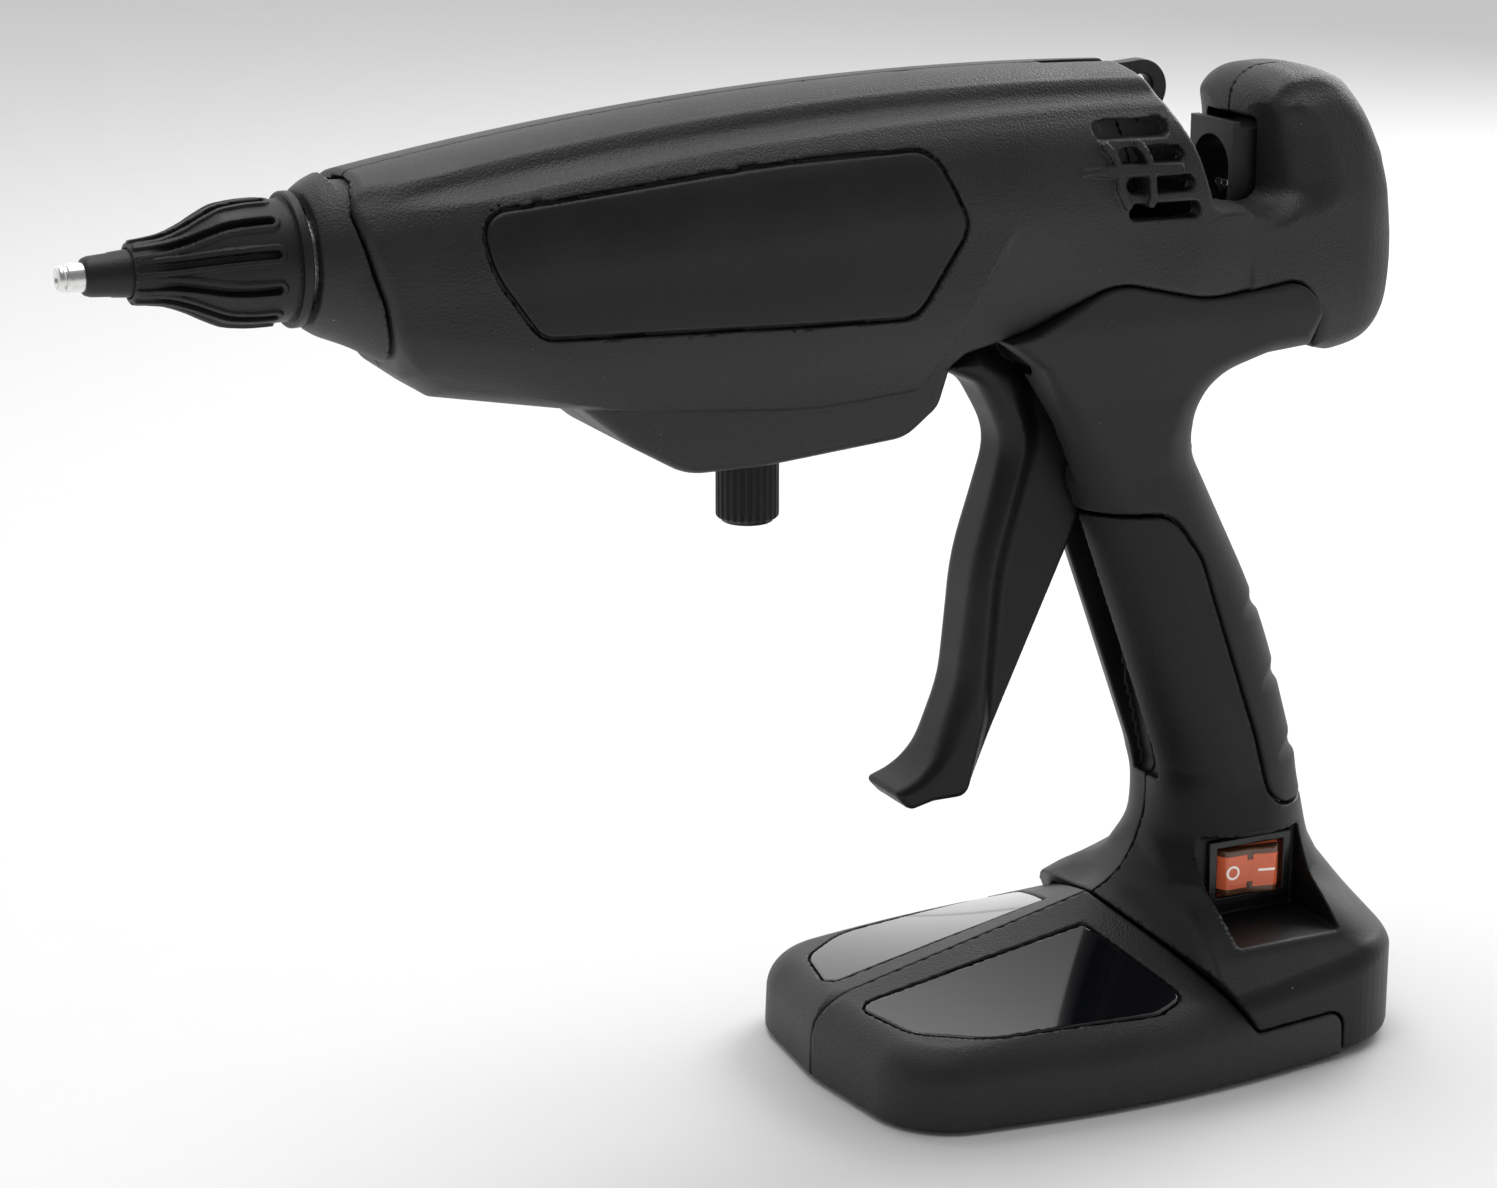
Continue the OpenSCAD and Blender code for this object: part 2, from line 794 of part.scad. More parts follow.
module feed_carriage() {
    color("#3a3c40")
        difference() {
            union() {
                box([51, -cheek_y - 2, rail_z], [122, cheek_y + 2, rail_z + rail_t]);      // rail
                for (side = [-1, 1]) {
                    y = side < 0 ? -cheek_y - 2 : cheek_y;
                    box([51, y, rail_z], [68, y + 2, axis_z + 4]);                          // cheeks
                    cross_rod([drive_pin_x, axis_z], side < 0 ? -arm_y - arm_t : cheek_y,
                              side < 0 ? -cheek_y : arm_y + arm_t, 2);                      // drive pins
                }
                axis_rod(50.5, 53, 10.2);                                                   // spring seat
                box([104, -8, rail_z], [122, 8, 197]);                                      // gripper housing
                side_slab(rounded([[plate_x, rail_z, 0], [plate_x, 198.5, 0], [plate_x + plate_t + 0.2, 198.5, 0],
                                   [plate_x + plate_t + 0.2, rail_z, 0]]), 8);              // front plate
            }
            axis_rod(40, 60, 7);
            for (z = [0, 3]) translate([0, 0, z]) axis_rod(100, 125, 6.8);                  // arched stick hole
            box([104.4, -5.2, 175.8], [121, 5.2, 186]);                                     // gripper's pocket
            cross_rod([117.5, 178], -9, 9, 1);
            box([68.5, -6, rail_z - 1], [98, 6, rail_z + rail_t + 1]);                      // window in the rail
        }
}

module gripper_pin() {
    color(steel) cross_rod([117.5, 178], -7.8, 7.8, 1);
}

// A toothed plate that leans forwards and up into the stick's path
module stick_gripper() {
    color(steel)
        difference() {
            union() {
                cross_rod([117.5, 178], -4.6, 4.6, 1.9);
                side_slab([[117.5, 176.4], [118, 179.8], [107, 185.2], [106.6, 184.2], [108, 181.8]], 4.6);
            }
            cross_rod([117.5, 178], -10, 10, 1 + fit);
            for (y = [-3.45 : 2.3 : 3.45])
                translate([107, y, 184.5]) rotate([45, 0, 0]) cube([6, 1.5, 1.5], center = true);
        }
}

// A compression spring around the stick, between a bulkhead and the carriage
module return_spring() {
    x0 = 26.9;
    x1 = 50.2;
    turns = 6;
    wire_r = 0.7;
    coil_r = 8.6;
    steps = 16;
    sides = 8;
    rings = turns * steps;
    pts = [for (i = [0 : rings]) for (k = [0 : sides - 1])
        let (
            a = 360 * i / steps,
            b = 360 * k / sides,
            r = coil_r + wire_r * cos(b)
        )
        [x0 + wire_r + (x1 - x0 - 2 * wire_r) * i / rings + wire_r * sin(b), r * cos(a), axis_z + r * sin(a)]];
    color(steel)
        polyhedron(
            pts,
            concat(
                [for (i = [0 : rings - 1]) for (k = [0 : sides - 1])
                    [i * sides + k, i * sides + (k + 1) % sides, (i + 1) * sides + (k + 1) % sides, (i + 1) * sides + k]],
                [[for (k = [sides - 1 : -1 : 0]) k], [for (k = [0 : sides - 1]) rings * sides + k]]
            )
        );
}

module control_knob() {
    color(dark_plastic)
        translate([knob_x, 0, knob_z[0]])
            difference() {
                union() {
                    translate([0, 0, 1.2]) cylinder(h = knob_z[1] - knob_z[0] - 1.2, r = knob_r);
                    cylinder(h = 1.3, r = knob_r - 1);
                }
                for (i = [0 : knob_grooves - 1])
                    rotate([0, 0, 360 * i / knob_grooves])
                        translate([knob_r + 0.2, 0, 1.2]) cylinder(h = 11.6, r = 0.5);
                translate([0, 0, 3]) cylinder(h = 20, r = 3);
            }
}

module knob_shaft() {
    color(steel)
        translate([knob_x, 0, knob_z[0] + 3]) cylinder(h = knob_shaft_top - knob_z[0] - 3, r = 3);
}

// ---------- Assembly ----------

casing_half(-1);  // casing_left
casing_half(1);  // casing_right
handle_half(-1);  // handle_left
handle_half(1);  // handle_right
soft_grip(-1);  // soft_grip_left
soft_grip(1);  // soft_grip_right
base_front_half(-1);  // base_front_left
base_front_half(1);  // base_front_right
gloss_inlay(-1);  // gloss_inlay_left
gloss_inlay(1);  // gloss_inlay_right
base_sole();
rubber_feet();
side_panel(-1);  // side_panel_left
side_panel(1);  // side_panel_right
nose_collar();
nozzle_shroud();
nozzle_boot();
nozzle_tip();
melt_chamber();
heater_cartridges();
heat_shield();
inlet_sleeve();
inlet_clamp();
rear_stick_guide();
hanging_eye();
cord_gland();
potentiometer();
circuit_board();
switch_housing();
trigger_pin();
return_spring();
casing_screws();
handle_screws();
base_screws();
trigger();
feed_carriage();
gripper_pin();
stick_gripper();
control_knob();
knob_shaft();
switch_rocker();
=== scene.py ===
"""Looks of a hot-melt glue gun that stands on its own base.

Lengths are in millimetres in the CAD frame: X points to the rear, Z up, and -Y is the gun's left side.
Each moulded piece is a distance field, negative inside, that moulded() turns into a mesh.
"""
import json
import math

import bmesh
import bpy
import numpy as np
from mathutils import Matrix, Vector


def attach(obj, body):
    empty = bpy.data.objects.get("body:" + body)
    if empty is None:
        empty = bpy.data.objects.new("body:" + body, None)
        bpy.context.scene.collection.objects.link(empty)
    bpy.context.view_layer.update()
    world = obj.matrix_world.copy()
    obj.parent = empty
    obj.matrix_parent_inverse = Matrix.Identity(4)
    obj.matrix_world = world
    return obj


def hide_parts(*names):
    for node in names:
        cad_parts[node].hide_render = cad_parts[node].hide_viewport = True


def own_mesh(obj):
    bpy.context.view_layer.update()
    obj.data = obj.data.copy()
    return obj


MM = 0.001
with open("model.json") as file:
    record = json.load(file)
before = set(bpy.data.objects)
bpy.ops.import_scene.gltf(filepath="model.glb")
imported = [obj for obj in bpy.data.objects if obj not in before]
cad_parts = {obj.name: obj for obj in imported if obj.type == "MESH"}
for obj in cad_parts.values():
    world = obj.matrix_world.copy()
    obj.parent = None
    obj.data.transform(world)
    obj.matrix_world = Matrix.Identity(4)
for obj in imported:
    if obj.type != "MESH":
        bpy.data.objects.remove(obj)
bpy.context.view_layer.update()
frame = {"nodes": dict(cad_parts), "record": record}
nodes = frame["nodes"]

# ---------- Dimensions shared with the CAD ----------

REAR_X = 143.5
AXIS_Z = 185.5
TOP_Z, TOP_X, TOP_RADIUS = 213.0, 43.0, 740.0
WALL = 3.4
PIVOT = (55.0, 158.0)
SEAT_GAP = 0.35
BASE_HALF_W = 44.6
BASE_REAR_X = 140.8
FOOT_H = 1.0
SWITCH = (109.2, -15.0, 36.6)
BEZEL = (21.0, 15.0)
ROCKER_LEAN = math.radians(8)
ROCKER_AXIS_IN, ROCKER_R, ROCKER_HALF_H = 4, 8.1, 5.1
KNOB_X = -5.0
PIN_HOLE_R = 2.05
BOSS_R, SCREW_R, SCREW_HEAD_R = 3.6, 1.6, 2.9
WEB_SLOT_HALF, BAR_SLOT_HALF = 4.9, 9.2
ARM_INNER, ARM_OUTER = 10.5, 13.5
NOSE_HOLE_R, NOSE_TENON_R, NOSE_BORE_R = 14.4, 14.1, 13.2
HALF_GAP = 0.05

SEAM = [
    (34, 158.5, 2), (48, 162, 10), (66, 171, 14), (88, 165.8, 30), (111.5, 167.6, 7), (117.3, 160.5, 5),
    (117.3, 152, 1),
]
NOTCH = [(75, 216, 0), (84.5, 196, 40), (88.6, 183.5, 2), (106.5, 183.5, 2)]
HUMP = [
    (106.5, 211.6, 8), (125, 211.2, 14), (137.8, 195, 30), (REAR_X, 175, 12), (REAR_X, 169, 12),
    (REAR_X - 2.4, 151.6, 13), (124, 150, 8),
]
BELLY_EDGE = [(28, 153, 2), (0, 150.8, 90), (-52, 155.3, 40), (-76, 158.8, 2), (-82.5, 163.6, 3)]
CASING_SIDE = [(-84, 168, 2), (-93.5, 202, 0), (-93.5, 216, 0)] + NOTCH + HUMP + SEAM[::-1] + BELLY_EDGE
CASING_PLAN = [(-97, 17, 0), (-62, 24.5, 60), (0, 27, 200), (88, 24.5, 120), (REAR_X - 0.7, 18.4, 17.8)]
BELLY_SIDE = [
    (-54, 160, 0), (-37, 146.2, 5), (-25, 139.3, 14), (-8, 139.2, 60), (22.8, 141.8, 8),
    (29.8, 147.6, 5), (33, 160, 0),
]
HANDLE_FRONT = [
    (77, 32, 2), (85.5, 37, 6), (90.6, 46, 12), (92, 57, 30), (69.8, 117, 60), (60, 140, 20),
    (51, 154, 5), (42, 160.5, 0),
]
HANDLE_REAR = [
    (107, 151, 7), (93, 145.5, 10), (94.6, 131, 14), (114, 94, 150), (128.6, 46, 30), (129.8, 41.5, 4),
    (133.4, 34, 6), (BASE_REAR_X, 18.5, 7), (BASE_REAR_X, FOOT_H, 0),
]
FOOT_STEP = [(118, FOOT_H, 0), (118, 11.2, 4), (94.5, 11.2, 1), (86.5, 23, 30)]
HANDLE_TOP = [(42, 176, 0), (117.3, 176, 0), (117.3, 152, 1)]
HANDLE_SIDE = HANDLE_FRONT + HANDLE_TOP + HANDLE_REAR + [(60, FOOT_H, 0)]
HANDLE_SECTION = [
    (-60, 178, 0), (24, 178, 0), (23.6, 162, 20), (19.5, 145, 20), (17.2, 128, 20), (16.8, 100, 20),
    (17, 56, 20), (18.5, 45, 12), (23, 36.5, 12), (34, 25, 20), (BASE_HALF_W, 16.5, 3),
    (BASE_HALF_W, 0, 0), (-60, 0, 0),
]
BASE_PLAN = [
    (10, 0, 0), (13.8, 37.8, 18), (72, BASE_HALF_W + 0.8, 230), (139.4, 36.8, 22), (BASE_REAR_X, 0, 0),
    (75, -60, 0),
]
GRIP = [
    (20, 119.6, 0), (85, 119.6, 10), (93, 109, 14), (108, 68, 40), (113, 50.5, 8), (150, 50.5, 0),
    (150, 180, 0), (20, 180, 0),
]
PANEL = [
    (-70, 195, 5), (-10, 200.2, 200), (23, 201, 7), (31, 185.5, 6), (19, 168.4, 6), (-59, 171, 5),
    (-68, 184, 20),
]
WEB_SLOT = [
    (58, 121, 0), (88.8, 56.5, 0), (94, 56.5, 2), (88, 80, 20), (87, 138, 6), (76, 161, 0), (58, 161, 0),
]
BAR_SLOT = [(30, 150, 0), (56, 124, 0), (66, 124, 3), (66, 152, 3), (60, 175, 0), (30, 175, 0)]
TRIGGER_BAR = [
    (36, 152.5, 1), (45, 148.5, 9), (53.2, 136.5, 13), (44.2, 111, 60), (42, 84, 30), (35, 67, 14),
    (25.6, 63.6, 1), (29.4, 59.6, 2), (35, 60.8, 2), (43, 60.8, 3), (48, 76, 20), (50.2, 108, 60),
    (58, 136, 14), (54, 151, 8), (44, 157, 2),
]
TRIGGER_WEB = [
    (35, 60.8, 2), (44.2, 60.8, 4), (68, 112, 60), (75, 130, 8), (70, 152, 6), (60, 163, 3),
    (44, 157, 2), (52, 136, 10), (42.5, 85, 10),
]
INLAY = [(17, 6.5, 3), (71.5, 8, 1.5), (80.5, 35, 3), (72, 38, 8), (34, 33.5, 20), (21, 24, 10)]
CASING_SCREWS = [(-64, 163), (-20, 203), (40, 203.5), (22, 158.5), (122, 202.5), (132, 160)]
HANDLE_SCREWS = [(91, 132), (103, 98), (115, 62)]
FEET = [(34, 30), (127, 24)]


# ---------- Distance fields ----------

def rounded(points):
    """The closed outline through points (u, v, radius), with an arc of that radius at each corner."""
    outline = []
    for i, (u, v, radius) in enumerate(points):
        corner = np.array([u, v], float)
        if radius == 0:
            outline.append(corner)
            continue
        to_last = np.array(points[i - 1][:2]) - corner
        to_next = np.array(points[(i + 1) % len(points)][:2]) - corner
        to_last /= np.linalg.norm(to_last)
        to_next /= np.linalg.norm(to_next)
        half = math.acos(np.clip(to_last @ to_next, -1, 1)) / 2
        middle = (to_last + to_next) / np.linalg.norm(to_last + to_next)
        centre = corner + middle * radius / math.sin(half)
        start = corner + to_last * radius / math.tan(half) - centre
        end = corner + to_next * radius / math.tan(half) - centre
        first = math.atan2(start[1], start[0])
        sweep = (math.atan2(end[1], end[0]) - first + 3 * math.pi) % (2 * math.pi) - math.pi
        steps = max(4, min(14, int(radius * abs(sweep))))
        for k in range(steps + 1):
            angle = first + sweep * k / steps
            outline.append(centre + radius * np.array([math.cos(angle), math.sin(angle)]))
    return np.array(outline)


def outline_field(points, u, v):
    """Distance from (u, v) to the closed outline, negative inside it."""
    outline = rounded(points)
    shape = np.broadcast(u, v).shape
    nearest = np.full(shape, np.inf)
    inside = np.zeros(shape, bool)
    for (au, av), (bu, bv) in zip(outline, np.roll(outline, -1, axis=0)):
        eu, ev = bu - au, bv - av
        length = eu * eu + ev * ev
        if length == 0:
            continue
        du, dv = u - au, v - av
        along = np.clip((du * eu + dv * ev) / length, 0, 1)
        nearest = np.minimum(nearest, (du - along * eu) ** 2 + (dv - along * ev) ** 2)
        if ev != 0:
            inside ^= ((av > v) != (bv > v)) & (u < eu * (v - av) / ev + au)
    return np.where(inside, -1, 1) * np.sqrt(nearest)


def path_field(path, u, v):
    """Distance from (u, v) to an open path."""
    nearest = np.inf
    for (au, av), (bu, bv) in zip(path, path[1:]):
        eu, ev = bu - au, bv - av
        along = np.clip(((u - au) * eu + (v - av) * ev) / (eu * eu + ev * ev), 0, 1)
        nearest = np.minimum(nearest, np.hypot(u - au - along * eu, v - av - along * ev))
    return nearest


def both(a, b, radius):
    """What is inside a and b, with the edge between them rounded."""
    corner = np.hypot(np.maximum(a + radius, 0), np.maximum(b + radius, 0))
    return np.minimum(np.maximum(a, b), -radius) + corner


def either(a, b, radius):
    """What is inside a or b, with a fillet between them."""
    return -both(-a, -b, radius)


def cut(a, b, radius=0.3):
    """What is inside a but not inside b, with a rounded edge."""
    return both(a, -b, radius)


def half_space(field):
    """Keeps the part of a field with y below zero."""
    return lambda x, y, z: np.maximum(field(x, y, z), y + 0.02)


def smooth(t, low, high):
    """A soft step from 0 at low to 1 at high."""
    s = np.clip((t - low) / (high - low), 0, 1)
    return s * s * (3 - 2 * s)


def curve(points):
    """A smooth function through the points that goes straight on beyond its ends."""
    xs, ys = np.array(points, float).T
    slopes = np.gradient(ys, xs)

    def value(x):
        x = np.asarray(x, float)
        i = np.clip(np.searchsorted(xs, x) - 1, 0, len(xs) - 2)
        h = xs[i + 1] - xs[i]
        t = np.clip((x - xs[i]) / h, 0, 1)
        a, b = ys[i], ys[i + 1]
        spline = (
            a * (1 + 2 * t) * (1 - t) ** 2 + b * t * t * (3 - 2 * t)
            + h * (slopes[i] * t * (1 - t) ** 2 + slopes[i + 1] * t * t * (t - 1))
        )
        beyond = slopes[0] * np.minimum(x - xs[0], 0) + slopes[-1] * np.maximum(x - xs[-1], 0)
        return spline + beyond

    return value


def rod_y(x, z, at, radius):
    return np.hypot(x - at[0], z - at[1]) - radius


def block(x, y, z, low, high, radius=0.0):
    """A box field with rounded edges."""
    ranges = []
    for value, a, b in zip((x, y, z), low, high):
        ranges.append(np.abs(value - (a + b) / 2) - (b - a) / 2 + radius)
    outside = np.sqrt(sum(np.maximum(q, 0) ** 2 for q in ranges))
    return outside + np.minimum(np.maximum(np.maximum(ranges[0], ranges[1]), ranges[2]), 0) - radius


# ---------- From a field to a mesh ----------

def crossings(values, axis):
    """Grid edges along one axis whose ends lie on different sides of the surface."""
    low = [slice(None)] * 3
    high = [slice(None)] * 3
    low[axis], high[axis] = slice(None, -1), slice(1, None)
    a, b = values[tuple(low)], values[tuple(high)]
    at = np.argwhere((a < 0) != (b < 0))
    va, vb = a[tuple(at.T)], b[tuple(at.T)]
    points = at.astype(float)
    points[:, axis] += va / (va - vb)
    return at, points, va < 0


def surface_net(values):
    """Vertices, in grid steps, and four-cornered faces of the surface where values change sign."""
    cells = np.array(values.shape) - 1
    total = int(np.prod(cells))
    sums = np.zeros((total, 3))
    counts = np.zeros(total)
    quads = []
    for axis in range(3):
        at, points, rises = crossings(values, axis)
        u, v = (axis + 1) % 3, (axis + 2) % 3
        corners = []
        for du, dv in ((0, 0), (-1, 0), (-1, -1), (0, -1)):
            cell = at.copy()
            cell[:, u] += du
            cell[:, v] += dv
            flat = np.ravel_multi_index(tuple(cell.T), tuple(cells))
            counts += np.bincount(flat, minlength=total)
            for k in range(3):
                sums[:, k] += np.bincount(flat, weights=points[:, k], minlength=total)
            corners.append(flat)
        quad = np.stack(corners, axis=1)
        quad[~rises] = quad[~rises][:, ::-1]
        quads.append(quad)
    quads = np.concatenate(quads)
    used = np.unique(quads)
    number = np.zeros(total, int)
    number[used] = np.arange(len(used))
    return sums[used] / counts[used][:, None], number[quads]


def slope_of(field, points, reach=0.04):
    grads = []
    for k in range(3):
        step = np.zeros(3)
        step[k] = reach
        ahead = field(*(points + step).T)
        behind = field(*(points - step).T)
        grads.append((ahead - behind) / (2 * reach))
    return np.stack(grads, axis=1)


def moulded(name, field, low, high, step, mirror=False):
    """A mesh object of the surface where the field is zero. mirror gives the twin on the right-hand side."""
    axes = [np.arange(a - 2 * step, b + 3 * step, step) for a, b in zip(low, high)]
    x, y, z = np.meshgrid(*axes, indexing="ij", sparse=True)
    values = np.broadcast_to(field(x, y, z), tuple(len(a) for a in axes))
    points, quads = surface_net(values)
    points = np.array([a[0] for a in axes]) + points * step
    for _ in range(2):
        grad = slope_of(field, points)
        size = np.maximum((grad ** 2).sum(axis=1), 0.2)
        move = -(field(*points.T) / size)[:, None] * grad
        length = np.linalg.norm(move, axis=1, keepdims=True)
        points = points + move * np.minimum(1, 0.45 * step / np.maximum(length, 1e-9))
    normals = slope_of(field, points)
    normals /= np.maximum(np.linalg.norm(normals, axis=1, keepdims=True), 1e-9)
    if mirror:
        points[:, 1] *= -1
        normals[:, 1] *= -1
        quads = quads[:, ::-1]
    return mesh_object(name, points, quads, normals)


def mesh_object(name, points, quads, normals=None):
    mesh = bpy.data.meshes.new(name)
    mesh.vertices.add(len(points))
    mesh.vertices.foreach_set("co", (np.asarray(points) * MM).astype(np.float32).ravel())
    mesh.loops.add(quads.size)
    mesh.loops.foreach_set("vertex_index", quads.astype(np.int32).ravel())
    mesh.polygons.add(len(quads))
    mesh.polygons.foreach_set("loop_start", np.arange(0, quads.size, 4, dtype=np.int32))
    mesh.update(calc_edges=True)
    mesh.shade_smooth()
    if normals is not None:
        mesh.normals_split_custom_set_from_vertices([tuple(n) for n in normals])
    obj = bpy.data.objects.new(name, mesh)
    bpy.context.scene.collection.objects.link(obj)
    return obj


def turned(name, profile, axis="x", segments=96, ripple=None):
    """A solid of revolution. profile is a closed loop of (along, radius) about the piece's own axis."""
    profile = np.array(profile, float)
    angles = np.linspace(0, 2 * math.pi, segments, endpoint=False)
    rings = []
    for angle in angles:
        radius = profile[:, 1].copy()
        if ripple is not None:
            radius = radius + ripple(angle, profile)
        c, s = math.cos(angle) * radius, math.sin(angle) * radius
        if axis == "x":
            rings.append(np.stack([profile[:, 0], c, AXIS_Z + s], axis=1))
        else:
            rings.append(np.stack([KNOB_X + c, s, profile[:, 0]], axis=1))
    count = len(profile)
    points = np.concatenate(rings)
    i, j = np.meshgrid(np.arange(segments), np.arange(count), indexing="ij")
    a = i * count + j
    b = i * count + (j + 1) % count
    c = ((i + 1) % segments) * count + (j + 1) % count
    d = ((i + 1) % segments) * count + j
    order = (a, d, c, b) if axis == "x" else (a, b, c, d)
    quads = np.stack([q.ravel() for q in order], axis=1)
    obj = mesh_object(name, points, quads)
    mend(obj)
    return obj


def mend(obj, open_ends=False):
    """Turns the faces outward. open_ends first fills an open tube's two ends."""
    bm = bmesh.new()
    bm.from_mesh(obj.data)
    if open_ends:
        bmesh.ops.holes_fill(bm, edges=bm.edges)
    bmesh.ops.recalc_face_normals(bm, faces=bm.faces)
    bm.to_mesh(obj.data)
    bm.free()
    obj.data.shade_smooth()


def soften(obj, width=0.4, segments=3, angle=35):
    """Rounds an object's sharp edges with a bevel."""
    weld = obj.modifiers.new("weld", "WELD")
    weld.merge_threshold = 1e-6
    bevel = obj.modifiers.new("bevel", "BEVEL")
    bevel.width = width * MM
    bevel.segments = segments
    bevel.limit_method = "ANGLE"
    bevel.angle_limit = math.radians(angle)
    bevel.harden_normals = True
    return obj


# ---------- Casing ----------

crown_in = curve([
    (0, 0), (4, 0.15), (8, 0.75), (11.4, 1.75), (12.8, 2.4), (13.5, 3.2), (14.4, 4.5), (16, 5.8),
    (18, 6.8), (20, 7.5), (21.4, 8.6), (24, 12),
])
shoulder_in = curve([(2, 10), (5, 8.6), (7.6, 6.6), (10.5, 4.0), (14, 1.9), (18, 0.7), (23, 0), (30, 0)])
tuck_in = curve([(140, 11), (150, 6.6), (154, 4.6), (158, 2.8), (163, 1.2), (168, 0.3), (172, 0), (180, 0)])
hump_crown_in = curve([
    (0, 0), (5, 0.2), (9, 1.2), (12, 2.8), (13.2, 4.0), (14.4, 6.2), (16.4, 8.4), (18.6, 9.8),
    (19.8, 11.2), (22, 15),
])
hump_shoulder_in = curve([(180, 0), (184, 0.1), (190, 1.2), (196, 2.6), (201, 3.8), (207, 7), (211, 10)])


def back_drop(x, z):
    """Depth below the arched back of the casing."""
    return TOP_Z - TOP_RADIUS + np.sqrt(TOP_RADIUS ** 2 - (x - TOP_X) ** 2) - z


def plan_field(x, ay):
    return outline_field(CASING_PLAN + [(REAR_X, -60, 0), (-97, -60, 0)], x, ay)


def neck_step(x, z):
    """How far the casing's side steps in behind its deep front section."""
    across = (x - 24) * 0.866 - (z - 155) * 0.5
    return 4.2 * smooth(across, -0.6, 1.6) * (1 - smooth(z, 163, 187)) * (1 - smooth(x, 42, 86))


def casing_solid(x, y, z):
    ay = np.abs(y)
    side_view = outline_field(CASING_SIDE, x, z)
    plan = plan_field(x, ay)
    drop = back_drop(x, z)
    front_lift = 4.5 * smooth(-x, 10, 92)
    front_side = plan + shoulder_in(drop + front_lift) + tuck_in(z) + neck_step(x, z)
    front = both(0.85 * (crown_in(ay) - drop), 0.9 * front_side, 0.6)
    hump_side = plan + hump_shoulder_in(z) + 0.8 * tuck_in(z + 4)
    hump = both(0.8 * (z - 211.9 + hump_crown_in(ay)), 0.9 * hump_side, 0.8)
    hump = cut(hump, thumb_room(x, ay, z), 4.5)
    walls = np.where(x < 98, front, hump)
    low_edge = np.interp(x, [-90, -60, -20, 116, 125, 140], [2.4, 1.0, 1.0, 1.0, 5.0, 7.0])
    high_edge = np.interp(x, [-90, -60, -20, 96, 103, 118, 140], [2.4, 1.0, 1.0, 1.0, 9.0, 7.0, 7.0])
    form = both(side_view, walls, low_edge + (high_edge - low_edge) * smooth(z, 172, 186))
    chin = -0.269 * x + 0.670 * ay - 0.692 * z + 81.6
    form = both(form, chin, 3)
    belly = both(outline_field(BELLY_SIDE, x, z), ay - 17.8 + 0.12 * (154 - z), 2.4)
    return np.minimum(form, np.maximum(belly, z - 160))


def thumb_room(x, ay, z):
    """The slanted hollow on each side of the hump, where a thumb reaches the stick."""
    slant = 0.555 * (x - 106) - 0.832 * (ay - 14.5)
    return both(both(slant, 184.5 - z, 3), z - 204, 8)


collar_radius = curve([
    (-99, 12.0), (-97.2, 13.4), (-95.4, 14.6), (-93.4, 15.5), (-88, 17.2), (-83, 18.6), (-78, 19.2),
])


def collar_field(x, y, z):
    """The nose ring: it follows the casing's slanted front with a dark crease, and its tenon goes inside."""
    radius = np.hypot(y, z - AXIS_Z)
    corner = (np.abs(y) - z + AXIS_Z) / (1.414 * np.maximum(radius, 1))
    swell = 3.2 * smooth(corner, 0.7, 1) * smooth(x, -94, -84)
    outside = both(0.9 * (radius - collar_radius(x) - swell), -97.5 - x, 0.5)
    front_plane = (x + 84 + 0.279 * (z - 168)) / 1.038 - 0.3
    ring = cut(np.maximum(outside, front_plane), casing_solid(x, y, z) - 0.6, 0.5)
    ring = np.minimum(ring, np.maximum(np.maximum(radius - NOSE_TENON_R, x + 80), -92 - x))
    bore = np.where(x < -95, 10.4, NOSE_BORE_R)
    return np.maximum(ring, bore - radius)


VENTS = [((60.4, 201.5), (78.4, 201.1)), ((65.1, 196.4), (80.8, 196.0)), ((66.7, 190.6), (83.0, 190.2)),
         ((67.4, 185.2), (84.4, 184.8))]
VENT_RIBS = [
    [(62.0, 198.8), (63.2, 197.6), (64.2, 195.6), (64.6, 193.6), (64.8, 190.0), (66.6, 186.8)],
    [(69.6, 198.8), (71.2, 197.2), (72.0, 195.2), (72.3, 193.6), (72.4, 190.0), (72.2, 186.8)],
]


def vent_cuts(x, z):
    field = np.inf
    for (x0, z0), (x1, z1) in VENTS:
        field = np.minimum(field, path_field([(x0 + 1.7, z0), (x1 - 1.7, z1)], x, z) - 1.7)
    return field


def vent_ribs(x, z):
    field = np.inf
    for path in VENT_RIBS:
        field = np.minimum(field, path_field(path, x, z) - 0.85)
    fin = path_field([(56.5, 193.9), (79, 193.3)], x, z) - 0.5 - 0.7 * smooth(x, 56, 64)
    return np.minimum(field, fin)


def screwed(shell, x, y, z, at, hole_depth, head_from, side):
    """Cuts a screw's hole, and on the right-hand side the recess for its head."""
    ay = np.abs(y)
    shell = cut(shell, np.maximum(rod_y(x, z, at, SCREW_R), ay - hole_depth), 0.1)
    if side > 0:
        shell = cut(shell, np.maximum(rod_y(x, z, at, SCREW_HEAD_R), head_from - ay), 0.3)
    return shell


